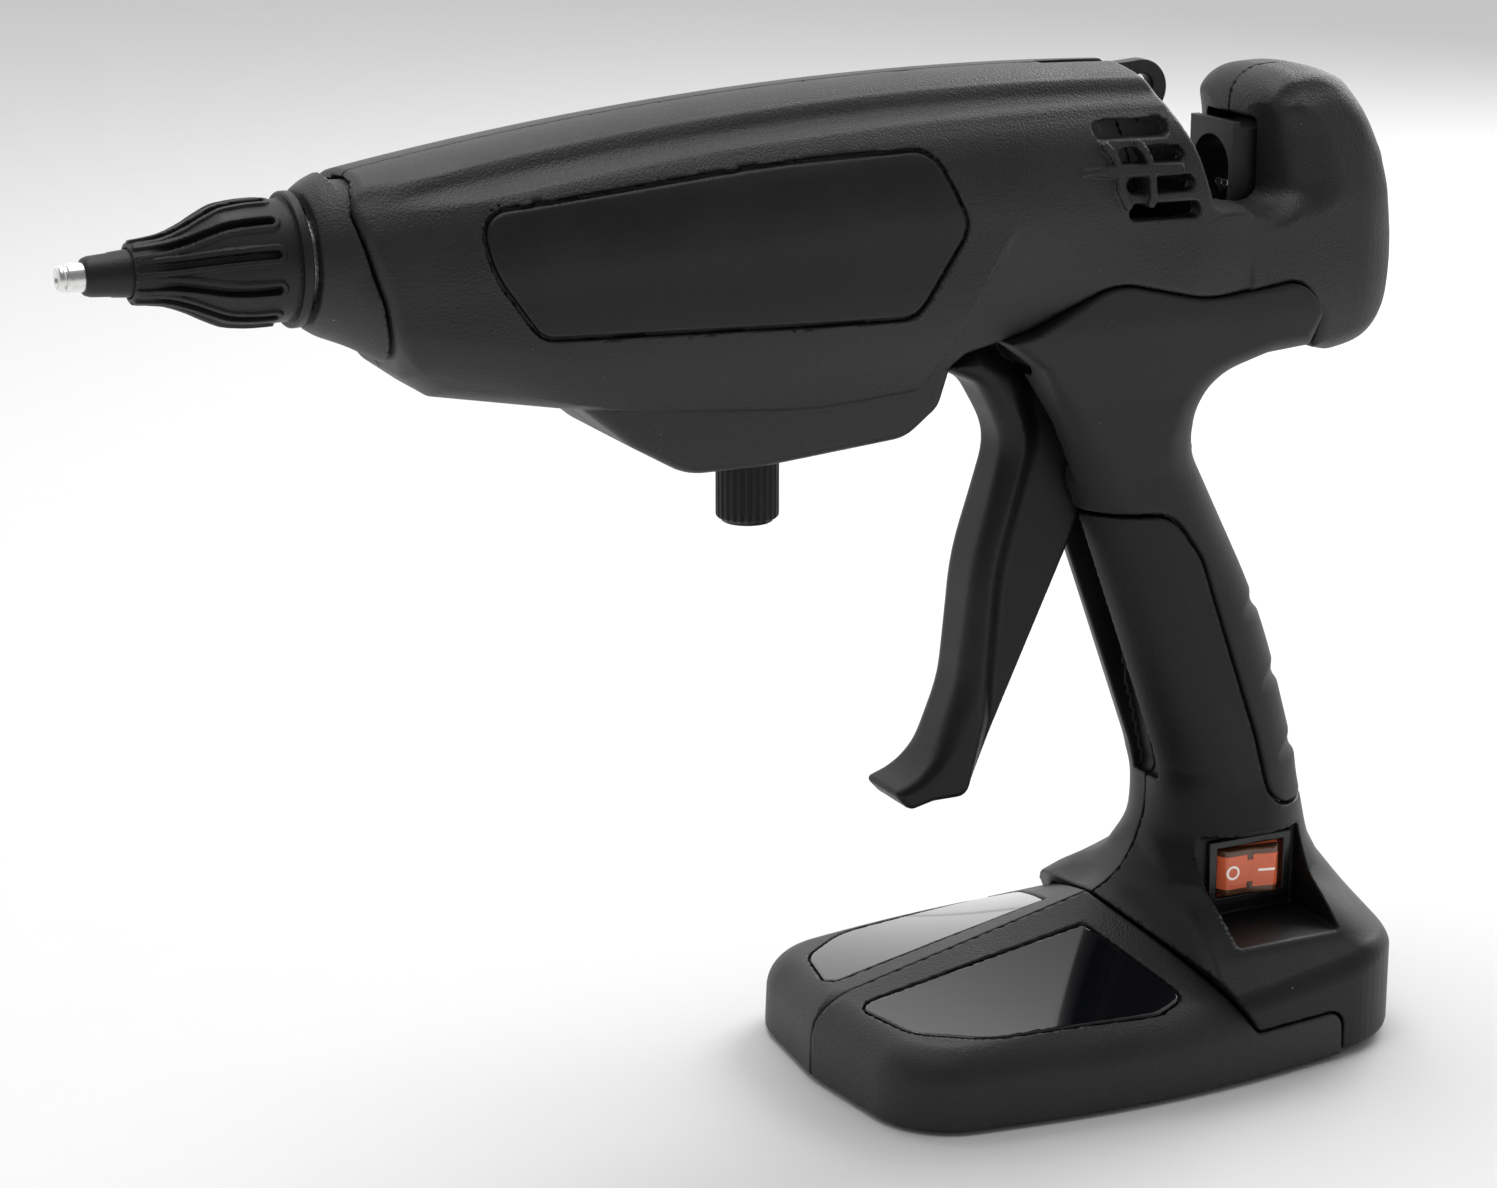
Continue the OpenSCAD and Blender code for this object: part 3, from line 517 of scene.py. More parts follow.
def casing_field(side):
    def field(x, y, z):
        ay = np.abs(y)
        solid = casing_solid(x, y, z)
        skin = np.maximum(solid, -(solid + WALL))
        outer = ay - 9
        pocket = np.maximum(np.maximum(outline_field(PANEL, x, z) - SEAT_GAP, -(solid + 1.3)), -outer)
        shell = cut(skin, pocket, 0.25)
        shell = cut(shell, np.maximum(vent_cuts(x, z), -outer), 0.35)
        relief = 0.9 * smooth(x, 55, 62)
        ribs = np.maximum(np.maximum(vent_ribs(x, z), solid - relief), -(solid + WALL - 0.6))
        shell = either(shell, np.maximum(ribs, -outer), 0.4)
        shell = cut(shell, np.maximum(np.hypot(y, z - AXIS_Z) - NOSE_HOLE_R, x + 82), 0.3)
        shell = cut(shell, block(x, y, z, (88, -9.2, 171), (110, 9.2, 199.6), 1.5), 0.4)
        shell = cut(shell, block(x, y, z, (41, -14.6, 140), (74, 14.6, 176), 1), 0.3)
        shell = cut(shell, block(x, y, z, (60, -1.9, 202.4), (93, 1.9, 216), 0), 0.2)
        shell = cut(shell, np.maximum(np.hypot(x - KNOB_X, y) - 4, z - 150), 0.3)
        shell = cut(shell, np.maximum(np.hypot(y, z - AXIS_Z) - 8.9, 130 - x), 0.5)
        for at in CASING_SCREWS:
            boss = np.maximum(rod_y(x, z, at, BOSS_R), solid + 1.5)
            shell = screwed(np.minimum(shell, boss), x, y, z, at, 9, 8, side)
        return both(shell, HALF_GAP - ay, 0.3)

    return half_space(field)


def panel_field(x, y, z):
    solid = casing_solid(x, y, z)
    top = both(outline_field(PANEL, x, z) + SEAT_GAP, solid + 0.1, 0.6)
    return np.maximum(np.maximum(top, -(solid + 1.25)), y + 12)


# ---------- Handle and soft grip ----------

def handle_solid(x, y, z):
    ay = np.abs(y)
    side_view = outline_field(HANDLE_SIDE, x, z)
    section = outline_field(HANDLE_SECTION, ay, z)
    front_edge = np.interp(z, [0, 20, 34, 44, 60, 118, 138, 152], [2.5, 4, 10, 13, 13, 13, 6, 2])
    rear_edge = np.interp(z, [0, 14, 24, 36, 48, 60, 135, 150, 160], [2.5, 4, 14, 21, 17, 13, 13, 8, 2])
    form = both(side_view, section, front_edge + (rear_edge - front_edge) * smooth(x, 70, 88))
    above_roof = roof_height(x, ay) + 3 * (np.maximum(x - 76, 0) / 9) ** 3 - z
    form = cut(form, np.maximum(np.maximum(0.6 * above_roof, z - 60), x - 88), 2.5)
    plan = outline_field(BASE_PLAN, x, ay)
    form = both(form, plan, 2.5)
    upper = outline_field(CASING_SIDE, x, z)
    return cut(form, np.maximum(upper - 0.35, 140 - z), 0.7)


def foot_region(x, z):
    """The side view area of the base's front part, with the low tongue beside the handle."""
    front = [(-20, -20, 0), (-20, 60, 0), (77, 60, 0), (77, 32, 0)]
    return outline_field(front + FOOT_STEP[::-1] + [(118, -20, 0)], x, z)


def switch_pocket(x, y, z):
    sx, sy, sz = SWITCH
    low = (sx - BEZEL[0] / 2 - 3.4, -80, sz - BEZEL[1] / 2 - 2.6)
    high = (sx + BEZEL[0] / 2 + 1.2, sy + 1.2, sz + BEZEL[1] / 2 + 1.2)
    return block(x, y, z, low, high, 0.6)


def dips(x, z):
    """Depth of the three lens-shaped dips down the back of the handle."""
    forward = 114 + (94 - z) * 0.304 - x
    depth = 0.0
    for middle in (96.8, 80.2, 63.6):
        lens = 1 - ((z - middle + 0.25 * forward) / 2.9) ** 2 - (np.maximum(forward, 0) / 9.5) ** 2
        depth = depth + 0.75 * np.maximum(lens, 0)
    return depth


def web_slot(x, ay, z):
    """The narrow slot that the trigger's web enters."""
    return np.maximum(outline_field(WEB_SLOT, x, z), ay - WEB_SLOT_HALF)


def handle_slots(x, y, z):
    """All the room that the trigger needs in the handle."""
    ay = np.abs(y)
    web = web_slot(x, ay, z)
    bar = np.maximum(outline_field(BAR_SLOT, x, z), ay - BAR_SLOT_HALF)
    arms = block(x, y, z, (42, -14.6, 151.5), (74, 14.6, 178), 3)
    return np.minimum(np.minimum(web, bar), arms)


def handle_field(side):
    def field(x, y, z):
        ay = np.abs(y)
        solid = handle_solid(x, y, z)
        grip = outline_field(GRIP, x, z)
        outer = both(solid, SEAT_GAP - grip, 0.5)
        shell = np.minimum(outer, solid + 2.1)
        hollow = solid + 4.2
        if side < 0:
            hollow = cut(hollow, switch_pocket(x, y, z) - 2.2, 0.5)
        shell = cut(shell, hollow, 0.5)
        for at in HANDLE_SCREWS:
            boss = np.maximum(rod_y(x, z, at, BOSS_R), solid + 3)
            shell = screwed(np.minimum(shell, boss), x, y, z, at, 6, 4, side)
        shell = np.minimum(shell, np.maximum(rod_y(x, z, PIVOT, 4.5), solid + 1.5))
        shell = cut(shell, rod_y(x, z, PIVOT, PIN_HOLE_R), 0.1)
        lining = np.maximum(np.maximum(web_slot(x, ay, z) - 2, solid + 0.6), z - 119)
        shell = np.minimum(shell, lining)
        shell = cut(shell, handle_slots(x, y, z), 0.4)
        foot = foot_region(x, z) - 0.25
        for end in (x - 100, 100 - x):
            shell = cut(shell, np.maximum(foot, end), 0.5)
        if side < 0:
            shell = cut(shell, switch_pocket(x, y, z), 0.5)
            sx, sy, sz = SWITCH
            shell = cut(shell, block(x, y, z, (sx - 9.4, sy - 1, sz - 6.4), (sx + 9.4, 0, sz + 6.4)), 0.1)
        cord = np.maximum(np.hypot(y, z - 13) - 6, 128 - x)
        shell = cut(shell, cord, 0.6)
        for fx, fy in FEET:
            shell = cut(shell, np.maximum(np.hypot(x - fx, ay - fy) - 6, z - 2.4), 0.2)
        return both(shell, HALF_GAP - ay, 0.3)

    return half_space(field)


def grip_field(side):
    def field(x, y, z):
        ay = np.abs(y)
        solid = handle_solid(x, y, z)
        grip = outline_field(GRIP, x, z)
        outer = solid + dips(x, z)
        skin = both(outer, grip + SEAT_GAP, 0.8)
        skin = np.maximum(skin, -(solid + 1.9))
        skin = cut(skin, handle_slots(x, y, z), 0.4)
        if side > 0:
            for at in HANDLE_SCREWS:
                skin = cut(skin, rod_y(x, z, at, SCREW_HEAD_R), 0.4)
        return both(skin, HALF_GAP - ay, 0.3)

    return half_space(field)


# ---------- Base ----------

def ridge_at(x):
    return 17.2 + (32 - 17.2) * (x - 11.6) / (77 - 11.6)


def roof_height(x, ay):
    ridge = ridge_at(x)
    return ridge - (ridge - 16.2) * np.minimum(1.05, ay / 43)


def base_solid(x, y, z):
    ay = np.abs(y)
    plan = outline_field(BASE_PLAN, x, ay) + 0.035 * (z - 10)
    form = both(0.95 * (z - roof_height(x, ay)), plan, 6.5)
    return both(form, FOOT_H - z, 0.8)


def inlay_area(x, ay):
    return outline_field(INLAY, x, ay)


def base_field(x, y, z):
    ay = np.abs(y)
    solid = base_solid(x, y, z)
    shell = np.maximum(solid, -(solid + WALL))
    region = foot_region(x, z)
    shell = both(shell, region + 0.25, 0.5)
    pocket = np.maximum(inlay_area(x, ay) - 0.3, -(solid + 1.4))
    shell = cut(shell, np.maximum(pocket, 8 - z), 0.25)
    shell = cut(shell, np.maximum(z - 3.8, outline_field(BASE_PLAN, x, ay) + 3.0), 0.2)
    return both(shell, HALF_GAP - ay, 0.35)


def inlay_field(x, y, z):
    ay = np.abs(y)
    solid = base_solid(x, y, z)
    top = both(inlay_area(x, ay) + 0.25, solid + 0.1, 0.4)
    return np.maximum(np.maximum(top, -(solid + 1.35)), 8 - z)


# ---------- Trigger ----------

def trigger_field(x, y, z):
    ay = np.abs(y)
    edge = np.interp(z, [60, 65, 74, 90], [1.3, 2.0, 3.4, 3.8])
    bar = both(outline_field(TRIGGER_BAR, x, z), ay - 7.5, edge)
    web = both(outline_field(TRIGGER_WEB, x, z), ay - 4, 1.0)
    form = either(bar, web, 3.0)
    top = (PIVOT[0] + (AXIS_Z - PIVOT[1]) * math.tan(math.radians(9)), AXIS_Z)
    link = path_field([PIVOT, top], x, z) - 5.0
    arms = np.maximum(np.maximum(link, ARM_INNER - ay), ay - ARM_OUTER)
    hub = np.maximum(rod_y(x, z, PIVOT, 5.5), ay - ARM_OUTER)
    form = np.minimum(form, np.minimum(arms, hub))
    slot = path_field([(top[0] - 0.2, top[1] - 1), (top[0] + 0.2, top[1] + 1)], x, z) - 2.4
    form = cut(form, slot, 0.2)
    return cut(form, rod_y(x, z, PIVOT, PIN_HOLE_R), 0.1)


# ---------- Nozzle ----------

shroud_radius = curve([
    (-131, 5.3), (-127, 5.7), (-124, 6.2), (-120, 7.7), (-116.5, 9.5), (-113.5, 10.8), (-111, 11.2),
    (-101, 11.45),
])
FINS = 11


def shroud_field(x, y, z):
    radius = np.hypot(y, z - AXIS_Z)
    angle = np.arctan2(z - AXIS_Z, y)
    pitch = 2 * math.pi / FINS
    off = (angle / pitch - np.floor(angle / pitch + 0.5)) * pitch
    around = off * np.minimum(radius, 12.5)
    groove = np.hypot(np.maximum(x + 105.4, 0), around)
    rim = smooth(groove, 0.55, 0.95) * (1 - smooth(groove, 1.65, 2.05)) * smooth(x, -130.4, -129.6)
    valley = (1 - smooth(groove, 0.5, 0.95)) * smooth(x, -127.5, -121)
    skin = shroud_radius(x) + 0.6 * rim - 1.3 * valley
    outer = radius - skin
    outer = both(outer, np.maximum(x + 100.6, -130.3 - x), 0.4)
    flange = both(radius - 12.75, np.abs(x + 99.7) - 1.0, 0.5)
    form = np.minimum(outer, flange)
    bore = np.interp(x, [-131, -124, -118, -112.5, -98], [4.65, 4.65, 6.6, 9.4, 9.6])
    return np.maximum(0.8 * form, bore - radius)


# ---------- Materials ----------

def node_tree(name):
    material = bpy.data.materials.new(name)
    material.use_nodes = True
    nodes_ = material.node_tree.nodes
    return material, nodes_, material.node_tree.links, nodes_["Principled BSDF"]


def noise(nodes_, links, scale, detail, source):
    texture = nodes_.new("ShaderNodeTexNoise")
    texture.inputs["Scale"].default_value = scale
    texture.inputs["Detail"].default_value = detail
    links.new(source, texture.inputs["Vector"])
    return texture


def mapped(nodes_, links, value, low, high, out_low, out_high):
    node = nodes_.new("ShaderNodeMapRange")
    for key, number in (("From Min", low), ("From Max", high), ("To Min", out_low), ("To Max", out_high)):
        node.inputs[key].default_value = number
    links.new(value, node.inputs["Value"])
    return node.outputs["Result"]


def mixed(nodes_, links, factor, a, b):
    node = nodes_.new("ShaderNodeMix")
    node.data_type = "RGBA"
    links.new(factor, node.inputs["Factor"])
    for key, value in ((6, a), (7, b)):
        if isinstance(value, tuple):
            node.inputs[key].default_value = (*value, 1)
        else:
            links.new(value, node.inputs[key])
    return node.outputs[2]


def moulding(
    name, color, roughness, grain=0.0, grain_scale=2100, spread=0.05, dust=0.0, wear=0.0, metallic=0.0,
    tint=0.19, **shader,
):
    """A moulded or cast surface: fine grain, uneven gloss, faint colour variation, dust and worn edges."""
    material, nodes_, links, principled = node_tree(name)
    where = nodes_.new("ShaderNodeTexCoord").outputs["Object"]
    principled.inputs["Metallic"].default_value = metallic
    for key, value in shader.items():
        principled.inputs[key.replace("_", " ")].default_value = value
    patches = noise(nodes_, links, 55, 4, where).outputs["Fac"]
    darker = tuple(c * (1 - tint) for c in color)
    lighter = tuple(min(1, c * (1 + tint)) for c in color)
    shade = mixed(nodes_, links, mapped(nodes_, links, patches, 0.35, 0.65, 0, 1), darker, lighter)
    fine = noise(nodes_, links, grain_scale, 2, where).outputs["Fac"]
    if dust:
        spots = nodes_.new("ShaderNodeTexVoronoi")
        spots.inputs["Scale"].default_value = 240
        links.new(where, spots.inputs["Vector"])
        size = mapped(nodes_, links, noise(nodes_, links, 90, 2, where).outputs["Fac"], 0.5, 0.75, 0, 0.06)
        speck = nodes_.new("ShaderNodeMath")
        speck.operation = "LESS_THAN"
        links.new(spots.outputs["Distance"], speck.inputs[0])
        links.new(size, speck.inputs[1])
        speck = mapped(nodes_, links, speck.outputs[0], 0, 1, 0, dust)
        shade = mixed(nodes_, links, speck, shade, (0.4, 0.4, 0.4))
    if wear:
        edges = nodes_.new("ShaderNodeNewGeometry").outputs["Pointiness"]
        rubbed = mapped(nodes_, links, edges, 0.53, 0.62, 0, wear)
        shade = mixed(nodes_, links, rubbed, shade, tuple(min(1, c * 3 + 0.02) for c in color))
    links.new(shade, principled.inputs["Base Color"])
    gloss = mapped(nodes_, links, patches, 0.3, 0.7, roughness - spread, roughness + spread)
    links.new(gloss, principled.inputs["Roughness"])
    if grain:
        bump = nodes_.new("ShaderNodeBump")
        bump.inputs["Strength"].default_value = grain
        bump.inputs["Distance"].default_value = 0.0003
        links.new(fine, bump.inputs["Height"])
        links.new(bump.outputs["Normal"], principled.inputs["Normal"])
    return material


def brushed(name, color, roughness, along=(1, 1, 1), **shader):
    """Metal with fine drawn or turned lines."""
    material, nodes_, links, principled = node_tree(name)
    where = nodes_.new("ShaderNodeTexCoord").outputs["Object"]
    stretch = nodes_.new("ShaderNodeMapping")
    stretch.inputs["Scale"].default_value = along
    links.new(where, stretch.inputs["Vector"])
    lines = noise(nodes_, links, 900, 3, stretch.outputs["Vector"]).outputs["Fac"]
    patches = noise(nodes_, links, 80, 3, where).outputs["Fac"]
    principled.inputs["Metallic"].default_value = 1
    for key, value in shader.items():
        principled.inputs[key.replace("_", " ")].default_value = value
    shade = mixed(nodes_, links, patches, tuple(c * 0.85 for c in color), color)
    links.new(shade, principled.inputs["Base Color"])
    gloss = mapped(nodes_, links, lines, 0.3, 0.7, roughness * 0.7, roughness * 1.4)
    links.new(gloss, principled.inputs["Roughness"])
    bump = nodes_.new("ShaderNodeBump")
    bump.inputs["Strength"].default_value = 0.15
    bump.inputs["Distance"].default_value = 0.00005
    links.new(lines, bump.inputs["Height"])
    links.new(bump.outputs["Normal"], principled.inputs["Normal"])
    return material


MATERIALS = {
    "shell_plastic": moulding("grained_black", (0.0155, 0.016, 0.0175), 0.50, grain=0.6, dust=0.35, wear=0.2),
    "handle_plastic": moulding(
        "satin_black", (0.0065, 0.007, 0.008), 0.46, grain=0.2, grain_scale=3000, dust=0.4,
        Specular_IOR_Level=0.32,
    ),
    "panel_plastic": moulding(
        "fine_black", (0.0095, 0.010, 0.0115), 0.45, grain=0.3, grain_scale=3200, dust=0.3,
        Specular_IOR_Level=0.4,
    ),
    "soft_rubber": moulding(
        "soft_grip_rubber", (0.013, 0.0135, 0.015), 0.58, grain=0.25, dust=0.5, Specular_IOR_Level=0.4,
        Sheen_Weight=0.03,
    ),
    "smoked_gloss": moulding(
        "smoked_inlay", (0.006, 0.0065, 0.009), 0.09, spread=0.02, dust=0.25, Coat_Weight=0.6,
    ),
    "nozzle_rubber": moulding(
        "nozzle_silicone", (0.011, 0.0115, 0.013), 0.48, grain=0.2, dust=0.5, Specular_IOR_Level=0.4,
    ),
    "bright_nickel": brushed("nickel_plate", (0.93, 0.93, 0.92), 0.28, (1, 12, 12)),
    "cast_aluminium": moulding("cast_aluminium", (0.60, 0.61, 0.62), 0.42, grain=0.5, metallic=1.0),
    "heater_ceramic": moulding("heater_ceramic", (0.70, 0.66, 0.58), 0.7, grain=0.3),
    "shield_mica": moulding("mica_sheet", (0.50, 0.38, 0.20), 0.35, grain=0.3, grain_scale=500),
    "red_silicone": moulding("red_silicone", (0.32, 0.05, 0.035), 0.55, grain=0.2),
    "spring_steel": brushed("zinc_steel", (0.58, 0.58, 0.57), 0.30),
    "carriage_nylon": moulding("dark_nylon", (0.022, 0.023, 0.026), 0.42, grain=0.2, dust=0.3),
    "pot_body": moulding("grey_case", (0.16, 0.17, 0.18), 0.4, grain=0.1),
    "board_green": moulding("solder_mask", (0.02, 0.10, 0.035), 0.3, grain=0.1, grain_scale=900),
    "switch_black": moulding("switch_black", (0.010, 0.010, 0.012), 0.28, grain=0.1),
    # the emission here is a painted glow: it brightens the rocker in place of the bright surroundings it
    # reflects, and the switch is no lamp
    "rocker_red": moulding(
        "rocker_red", (0.92, 0.17, 0.06), 0.25, spread=0.03, dust=0.1,
        Subsurface_Weight=0.4, Subsurface_Radius=(0.004, 0.001, 0.0005), Coat_Weight=0.4,
        Emission_Color=(1, 0.20, 0.09, 1), Emission_Strength=0.12,
    ),
    "rocker_rim": moulding("rocker_rim", (0.16, 0.065, 0.03), 0.15, spread=0.03, Coat_Weight=0.5),
    # the emission here is a painted glow on the printed marks, which give no light of their own
    "mark_white": moulding(
        "mark_white", (0.95, 0.95, 0.92), 0.4, grain=0.1,
        Emission_Color=(1, 0.9, 0.8, 1), Emission_Strength=0.35,
    ),
}


def dress(obj, slot_name):
    obj.data.materials.clear()
    obj.data.materials.append(MATERIALS[slot_name])
    return obj


def shell_piece(name, field, low, high, step, node, slot_name, mirror=False):
    obj = moulded(name, field, low, high, step, mirror)
    return stand_in(obj, node, slot_name)


def stand_in(obj, node, slot_name, body="housing"):
    dress(obj, slot_name)
    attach(obj, body)
    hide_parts(node)
    return obj


# ---------- Pieces ----------

def make_shells():
    for side, end in ((-1, "left"), (1, "right")):
        mirror = side > 0
        shell_piece(f"moulded_casing_{end}", casing_field(side), (-94, -28, 138), (144, 0.2, 214), 0.72,
                    f"casing_{end}", "shell_plastic", mirror)
        shell_piece(f"flat_panel_{end}", panel_field, (-71, -28, 167), (33, -12, 202), 0.45,
                    f"side_panel_{end}", "panel_plastic", mirror)
        shell_piece(f"moulded_handle_{end}", handle_field(side), (41, -45, 0.5), (143, 0.2, 174), 0.8,
                    f"handle_{end}", "handle_plastic", mirror)
        shell_piece(f"soft_cover_{end}", grip_field(side), (41, -25, 49), (132, 0.2, 174), 0.65,
                    f"soft_grip_{end}", "soft_rubber", mirror)
        shell_piece(f"base_cover_{end}", half_space(base_field), (9, -46, 0.5), (119, 0.2, 34), 0.7,
                    f"base_front_{end}", "shell_plastic", mirror)
        shell_piece(f"gloss_window_{end}", inlay_field, (15, -40, 14), (83, -4, 32), 0.5,
                    f"gloss_inlay_{end}", "smoked_gloss", mirror)


def make_trigger():
    obj = moulded("finger_trigger", trigger_field, (21, -14, 57), (77, 14, 192), 0.7)
    stand_in(obj, "trigger", "handle_plastic", "trigger_lever")


def make_nozzle():
    shroud = moulded("finned_shroud", shroud_field, (-131, -13.5, 172), (-98, 13.5, 199), 0.3)
    stand_in(shroud, "nozzle_shroud", "nozzle_rubber")
    collar = moulded("nose_ring", collar_field, (-98, -20, 165), (-79, 20, 206), 0.5)
    stand_in(collar, "nose_collar", "shell_plastic")
    profile = [
        (-138.8, 2.75), (-138.8, 3.2), (-138.5, 3.45), (-137.6, 3.75), (-134, 4.0), (-133.6, 4.15),
        (-128.4, 4.6), (-125.6, 4.6), (-125.4, 2.75),
    ]
    boot = turned("tip_boot", profile)
    stand_in(soften(boot, 0.15), "nozzle_boot", "nozzle_rubber")
    profile = [
        (-143.5, 1.0), (-143.5, 1.9), (-143.3, 2.3), (-142.9, 2.5), (-142.2, 2.5), (-142.1, 2.25),
        (-141.8, 2.25), (-141.7, 2.6), (-141.5, 2.7), (-119, 2.7), (-119, 2.2), (-136, 2.2),
        (-139.5, 1.0),
    ]
    stand_in(turned("metal_tip", profile), "nozzle_tip", "bright_nickel")


def make_knob():
    ridges = 26

    def ripple(angle, profile):
        groove = smooth(np.cos(ridges * angle), -0.2, 0.6) * 0.42
        length = smooth(profile[:, 0], 125.5, 126.1)
        return -groove * length * (profile[:, 1] > 4)

    sides = [(z, 6.4) for z in np.linspace(126.1, 138.6, 10)]
    profile = [(124.6, 0.01), (124.6, 4.9), (124.8, 5.25), (125.3, 5.4), (125.5, 6.0), (125.8, 6.3)] + sides
    profile += [(138.6, 3.05), (127.6, 3.05), (127.5, 0.01)]
    knob = turned("ridged_knob", profile, "z", ridges * 12, ripple)
    stand_in(knob, "control_knob", "handle_plastic", "knob")


def make_spring():
    """The return spring: coils at an even pitch, closing up at both ends."""
    start, end = 26.9, 50.2
    wire, coil, turns, sides = 0.7, 8.6, 6, 10
    count = turns * 40
    share = np.linspace(0, 1, count + 1)
    advance = np.interp(share, [0, 0.12, 0.88, 1], [0, 0.03, 0.97, 1])
    travel = start + wire + (end - start - 2 * wire) * advance
    angle = 2 * math.pi * turns * share
    thickness = wire * np.clip(np.minimum(share, 1 - share) * count, 0.02, 1)
    around = np.linspace(0, 2 * math.pi, sides, endpoint=False)
    radius = coil + thickness[:, None] * np.cos(around)
    points = np.stack([
        travel[:, None] + thickness[:, None] * np.sin(around),
        radius * np.cos(angle)[:, None],
        AXIS_Z + radius * np.sin(angle)[:, None],
    ], axis=2).reshape(-1, 3)
    i, j = np.meshgrid(np.arange(count), np.arange(sides), indexing="ij")
    a, b = i * sides + j, i * sides + (j + 1) % sides
    quads = np.stack([a, b, b + sides, a + sides], axis=2).reshape(-1, 4)
    spring = mesh_object("coil_spring", points, quads)
    mend(spring, open_ends=True)
    stand_in(spring, "return_spring", "spring_steel")
    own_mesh(spring)


def rocker_place(x, y):
    """Turns (x, y) into the rocker's own frame: along its face, and out of it."""
    u, v = x - SWITCH[0], y - SWITCH[1] - ROCKER_AXIS_IN
    c, s = math.cos(ROCKER_LEAN), math.sin(ROCKER_LEAN)
    return u * c - v * s, -(u * s + v * c)


def rocker_solid(x, y, z):
    u, out = rocker_place(x, y)
    face = out - 5 - 0.122 * np.abs(u)
    back = -out - 2
    ends = np.hypot(u, out) - ROCKER_R
    form = both(both(face, ends, 0.5), np.abs(z - SWITCH[2]) - ROCKER_HALF_H, 0.35)
    return np.maximum(form, back)


def overlay(area, x, y, z, proud, edge, depth):
    """A thin layer on the rocker's face, over an area of it."""
    solid = rocker_solid(x, y, z)
    out = rocker_place(x, y)[1]
    return np.maximum(np.maximum(both(area, solid - proud, edge), -(solid + depth)), 3 - out)


def rocker_rims(x, y, z):
    """The darker strips along the rocker's edges."""
    u = rocker_place(x, y)[0]
    w = np.abs(z - SWITCH[2])
    strips = np.minimum(3.7 - w, np.maximum(np.abs(u) - 0.7, 2.5 - w))
    strips = np.minimum(strips, 6.9 - u)
    return overlay(strips, x, y, z, 0.07, 0.05, 0.4)


def rocker_marks(x, y, z):
    """The ring for off and the bar for on."""
    u = rocker_place(x, y)[0]
    w = z - SWITCH[2]
    ring = np.abs(np.hypot(u + 4.2, w) - 1.35) - 0.25
    bar = np.maximum(np.abs(u - 3.8) - 1.9, np.abs(w) - 0.27)
    return overlay(np.minimum(ring, bar), x, y, z, 0.06, 0.03, 0.3)


def make_rocker():
    low, high, face_high = (100.5, -18, 31), (118, -8.5, 42.2), (118, -12, 42.2)
    stand_in(moulded("rocker_key", rocker_solid, low, high, 0.3), "switch_rocker", "rocker_red", "rocker")
    for name, field, step, material in (
        ("rocker_edges", rocker_rims, 0.16, "rocker_rim"),
        ("rocker_marks", rocker_marks, 0.11, "mark_white"),
    ):
        piece = dress(moulded(name, field, low, face_high, step), material)
        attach(piece, "rocker")


def dress_cad_nodes():
    slots = {}
    for part in frame["record"]["subparts"]:
        slots[part["node"]] = part["material_slot"]
    for name, obj in nodes.items():
        dress(obj, slots[name])
    bevels = {
        "feed_carriage": 0.6, "hanging_eye": 0.6, "switch_housing": 0.4, "rear_stick_guide": 0.5,
        "cord_gland": 0.5, "base_sole": 0.4, "rubber_feet": 0.5, "casing_screws": 0.2, "handle_screws": 0.2,
        "base_screws": 0.2, "stick_gripper": 0.12, "melt_chamber": 0.5, "circuit_board": 0.15,
        "inlet_clamp": 0.2, "potentiometer": 0.4, "knob_shaft": 0.2, "inlet_sleeve": 0.4,
    }
    for name, width in bevels.items():
        soften(nodes[name], width, 2)


def make_camera():
    place = Vector((-0.3139, -0.6339, 0.3113))
    look = Vector((0.4214, 0.8640, -0.2756))
    camera = bpy.data.cameras.new("camera")
    camera.sensor_width = 36
    camera.lens = 87.3
    camera.clip_end = 20
    obj = bpy.data.objects.new("camera", camera)
    obj.location = place
    obj.rotation_euler = look.to_track_quat("-Z", "Y").to_euler()
    bpy.context.scene.collection.objects.link(obj)
    bpy.context.scene.camera = obj


DARK_SIDE = (-0.42, -0.86, 0.28)  # the studio is dimmer towards this direction


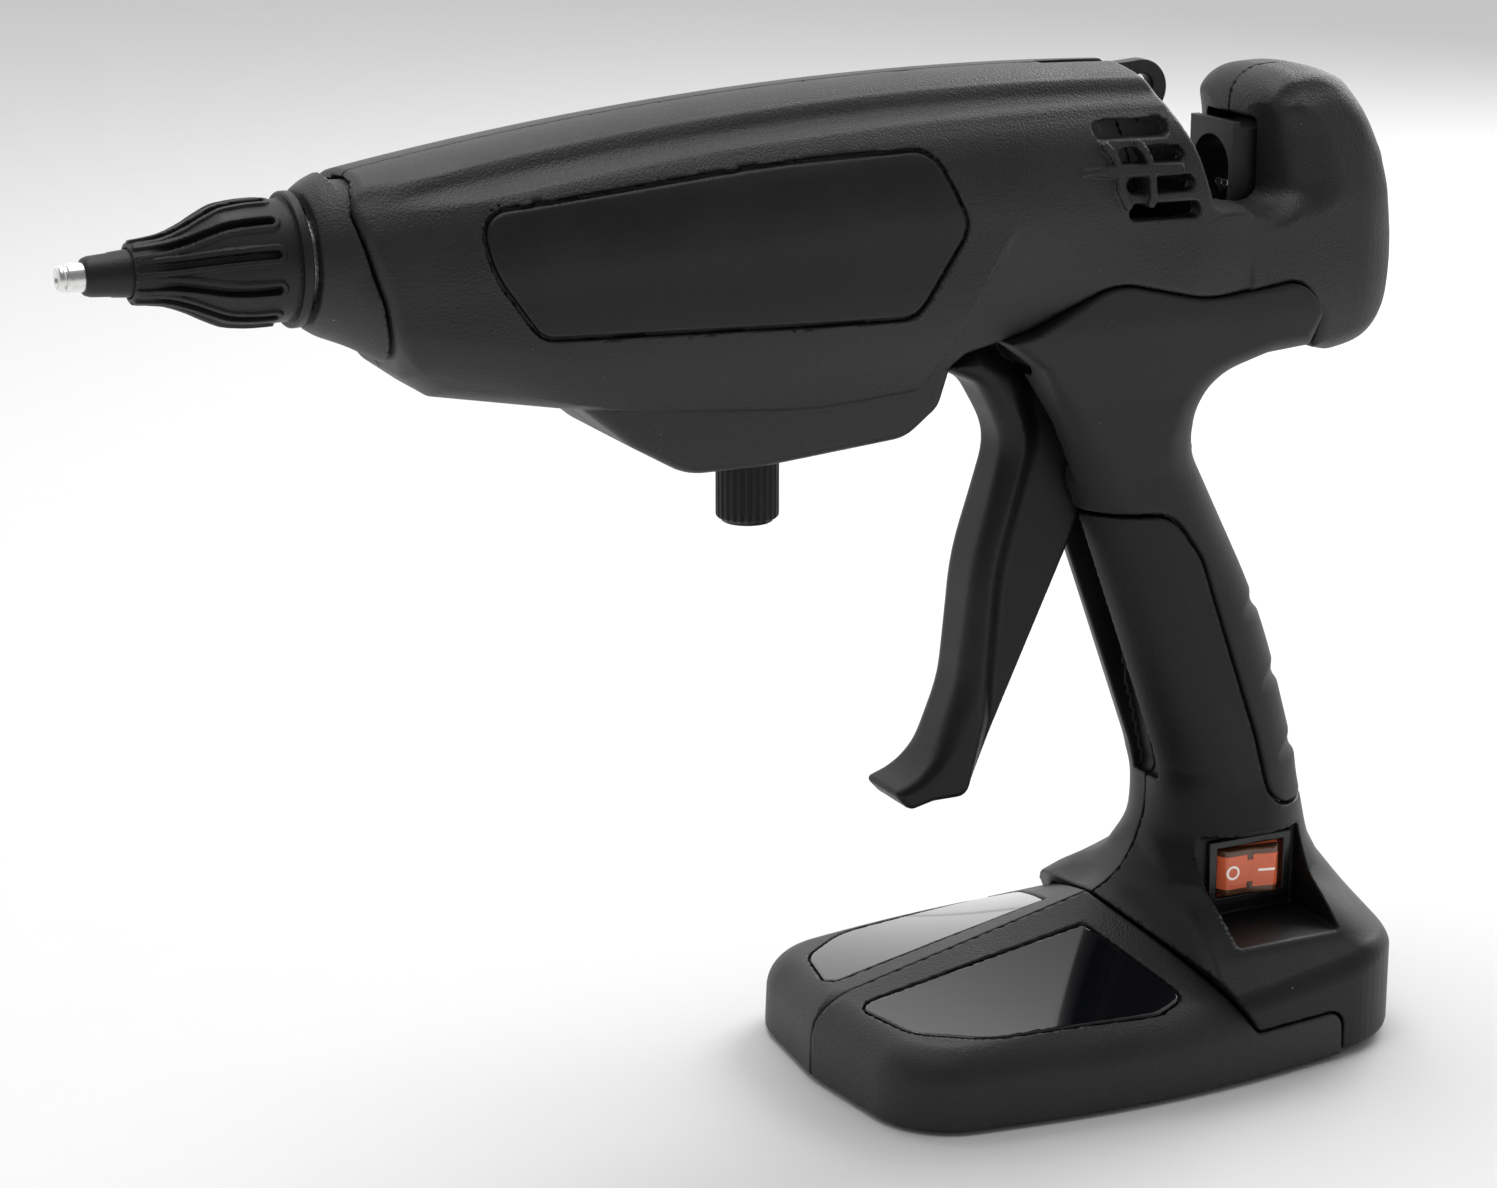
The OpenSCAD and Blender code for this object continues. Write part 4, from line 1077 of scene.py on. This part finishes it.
def make_stage():
    """A pale floor, a soft studio around it and two soft lamps."""
    size = 6.0
    bm = bmesh.new()
    corners = [bm.verts.new((x * size, y * size, 0)) for x, y in ((-1, -1), (1, -1), (1, 1), (-1, 1))]
    bm.faces.new(corners)
    mesh = bpy.data.meshes.new("floor")
    bm.to_mesh(mesh)
    bm.free()
    floor = bpy.data.objects.new("floor", mesh)
    bpy.context.scene.collection.objects.link(floor)
    floor.data.materials.append(moulding("pale_floor", (0.90, 0.90, 0.90), 0.9, spread=0.01, tint=0.004))

    world = bpy.data.worlds.new("studio")
    bpy.context.scene.world = world
    world.use_nodes = True
    tree = world.node_tree
    background = tree.nodes["Background"]
    where = tree.nodes.new("ShaderNodeTexCoord").outputs["Generated"]
    facing = tree.nodes.new("ShaderNodeVectorMath")
    facing.operation = "DOT_PRODUCT"
    facing.inputs[1].default_value = DARK_SIDE
    tree.links.new(where, facing.inputs[0])
    glow = mapped(tree.nodes, tree.links, facing.outputs["Value"], -0.5, 0.5, 1.15, 0.2)
    seen = tree.nodes.new("ShaderNodeLightPath").outputs["Is Camera Ray"]
    plain = tree.nodes.new("ShaderNodeMix")
    tree.links.new(seen, plain.inputs[0])
    tree.links.new(glow, plain.inputs[2])
    plain.inputs[3].default_value = 1.1
    tree.links.new(plain.outputs[0], background.inputs["Strength"])
    background.inputs["Color"].default_value = (1, 1, 1, 1)

    lamp("top_box", (-0.15, 0.15, 1.3), (0.02, 0, 0.15), 1.0, 0.6, 7)
    lamp("rear_box", (1.1, 0.6, 0.8), (0.1, 0, 0.12), 0.7, 0.7, 9)


def lamp(name, place, target, width, height, power):
    light = bpy.data.lights.new(name, "AREA")
    light.shape = "RECTANGLE"
    light.size = width
    light.size_y = height
    light.energy = power
    obj = bpy.data.objects.new(name, light)
    obj.location = place
    obj.rotation_euler = (Vector(target) - Vector(place)).to_track_quat("-Z", "Y").to_euler()
    bpy.context.scene.collection.objects.link(obj)


make_camera()
make_shells()
make_trigger()
make_nozzle()
make_knob()
make_spring()
make_rocker()
dress_cad_nodes()
make_stage()
bpy.context.scene.view_settings.view_transform = "Standard"
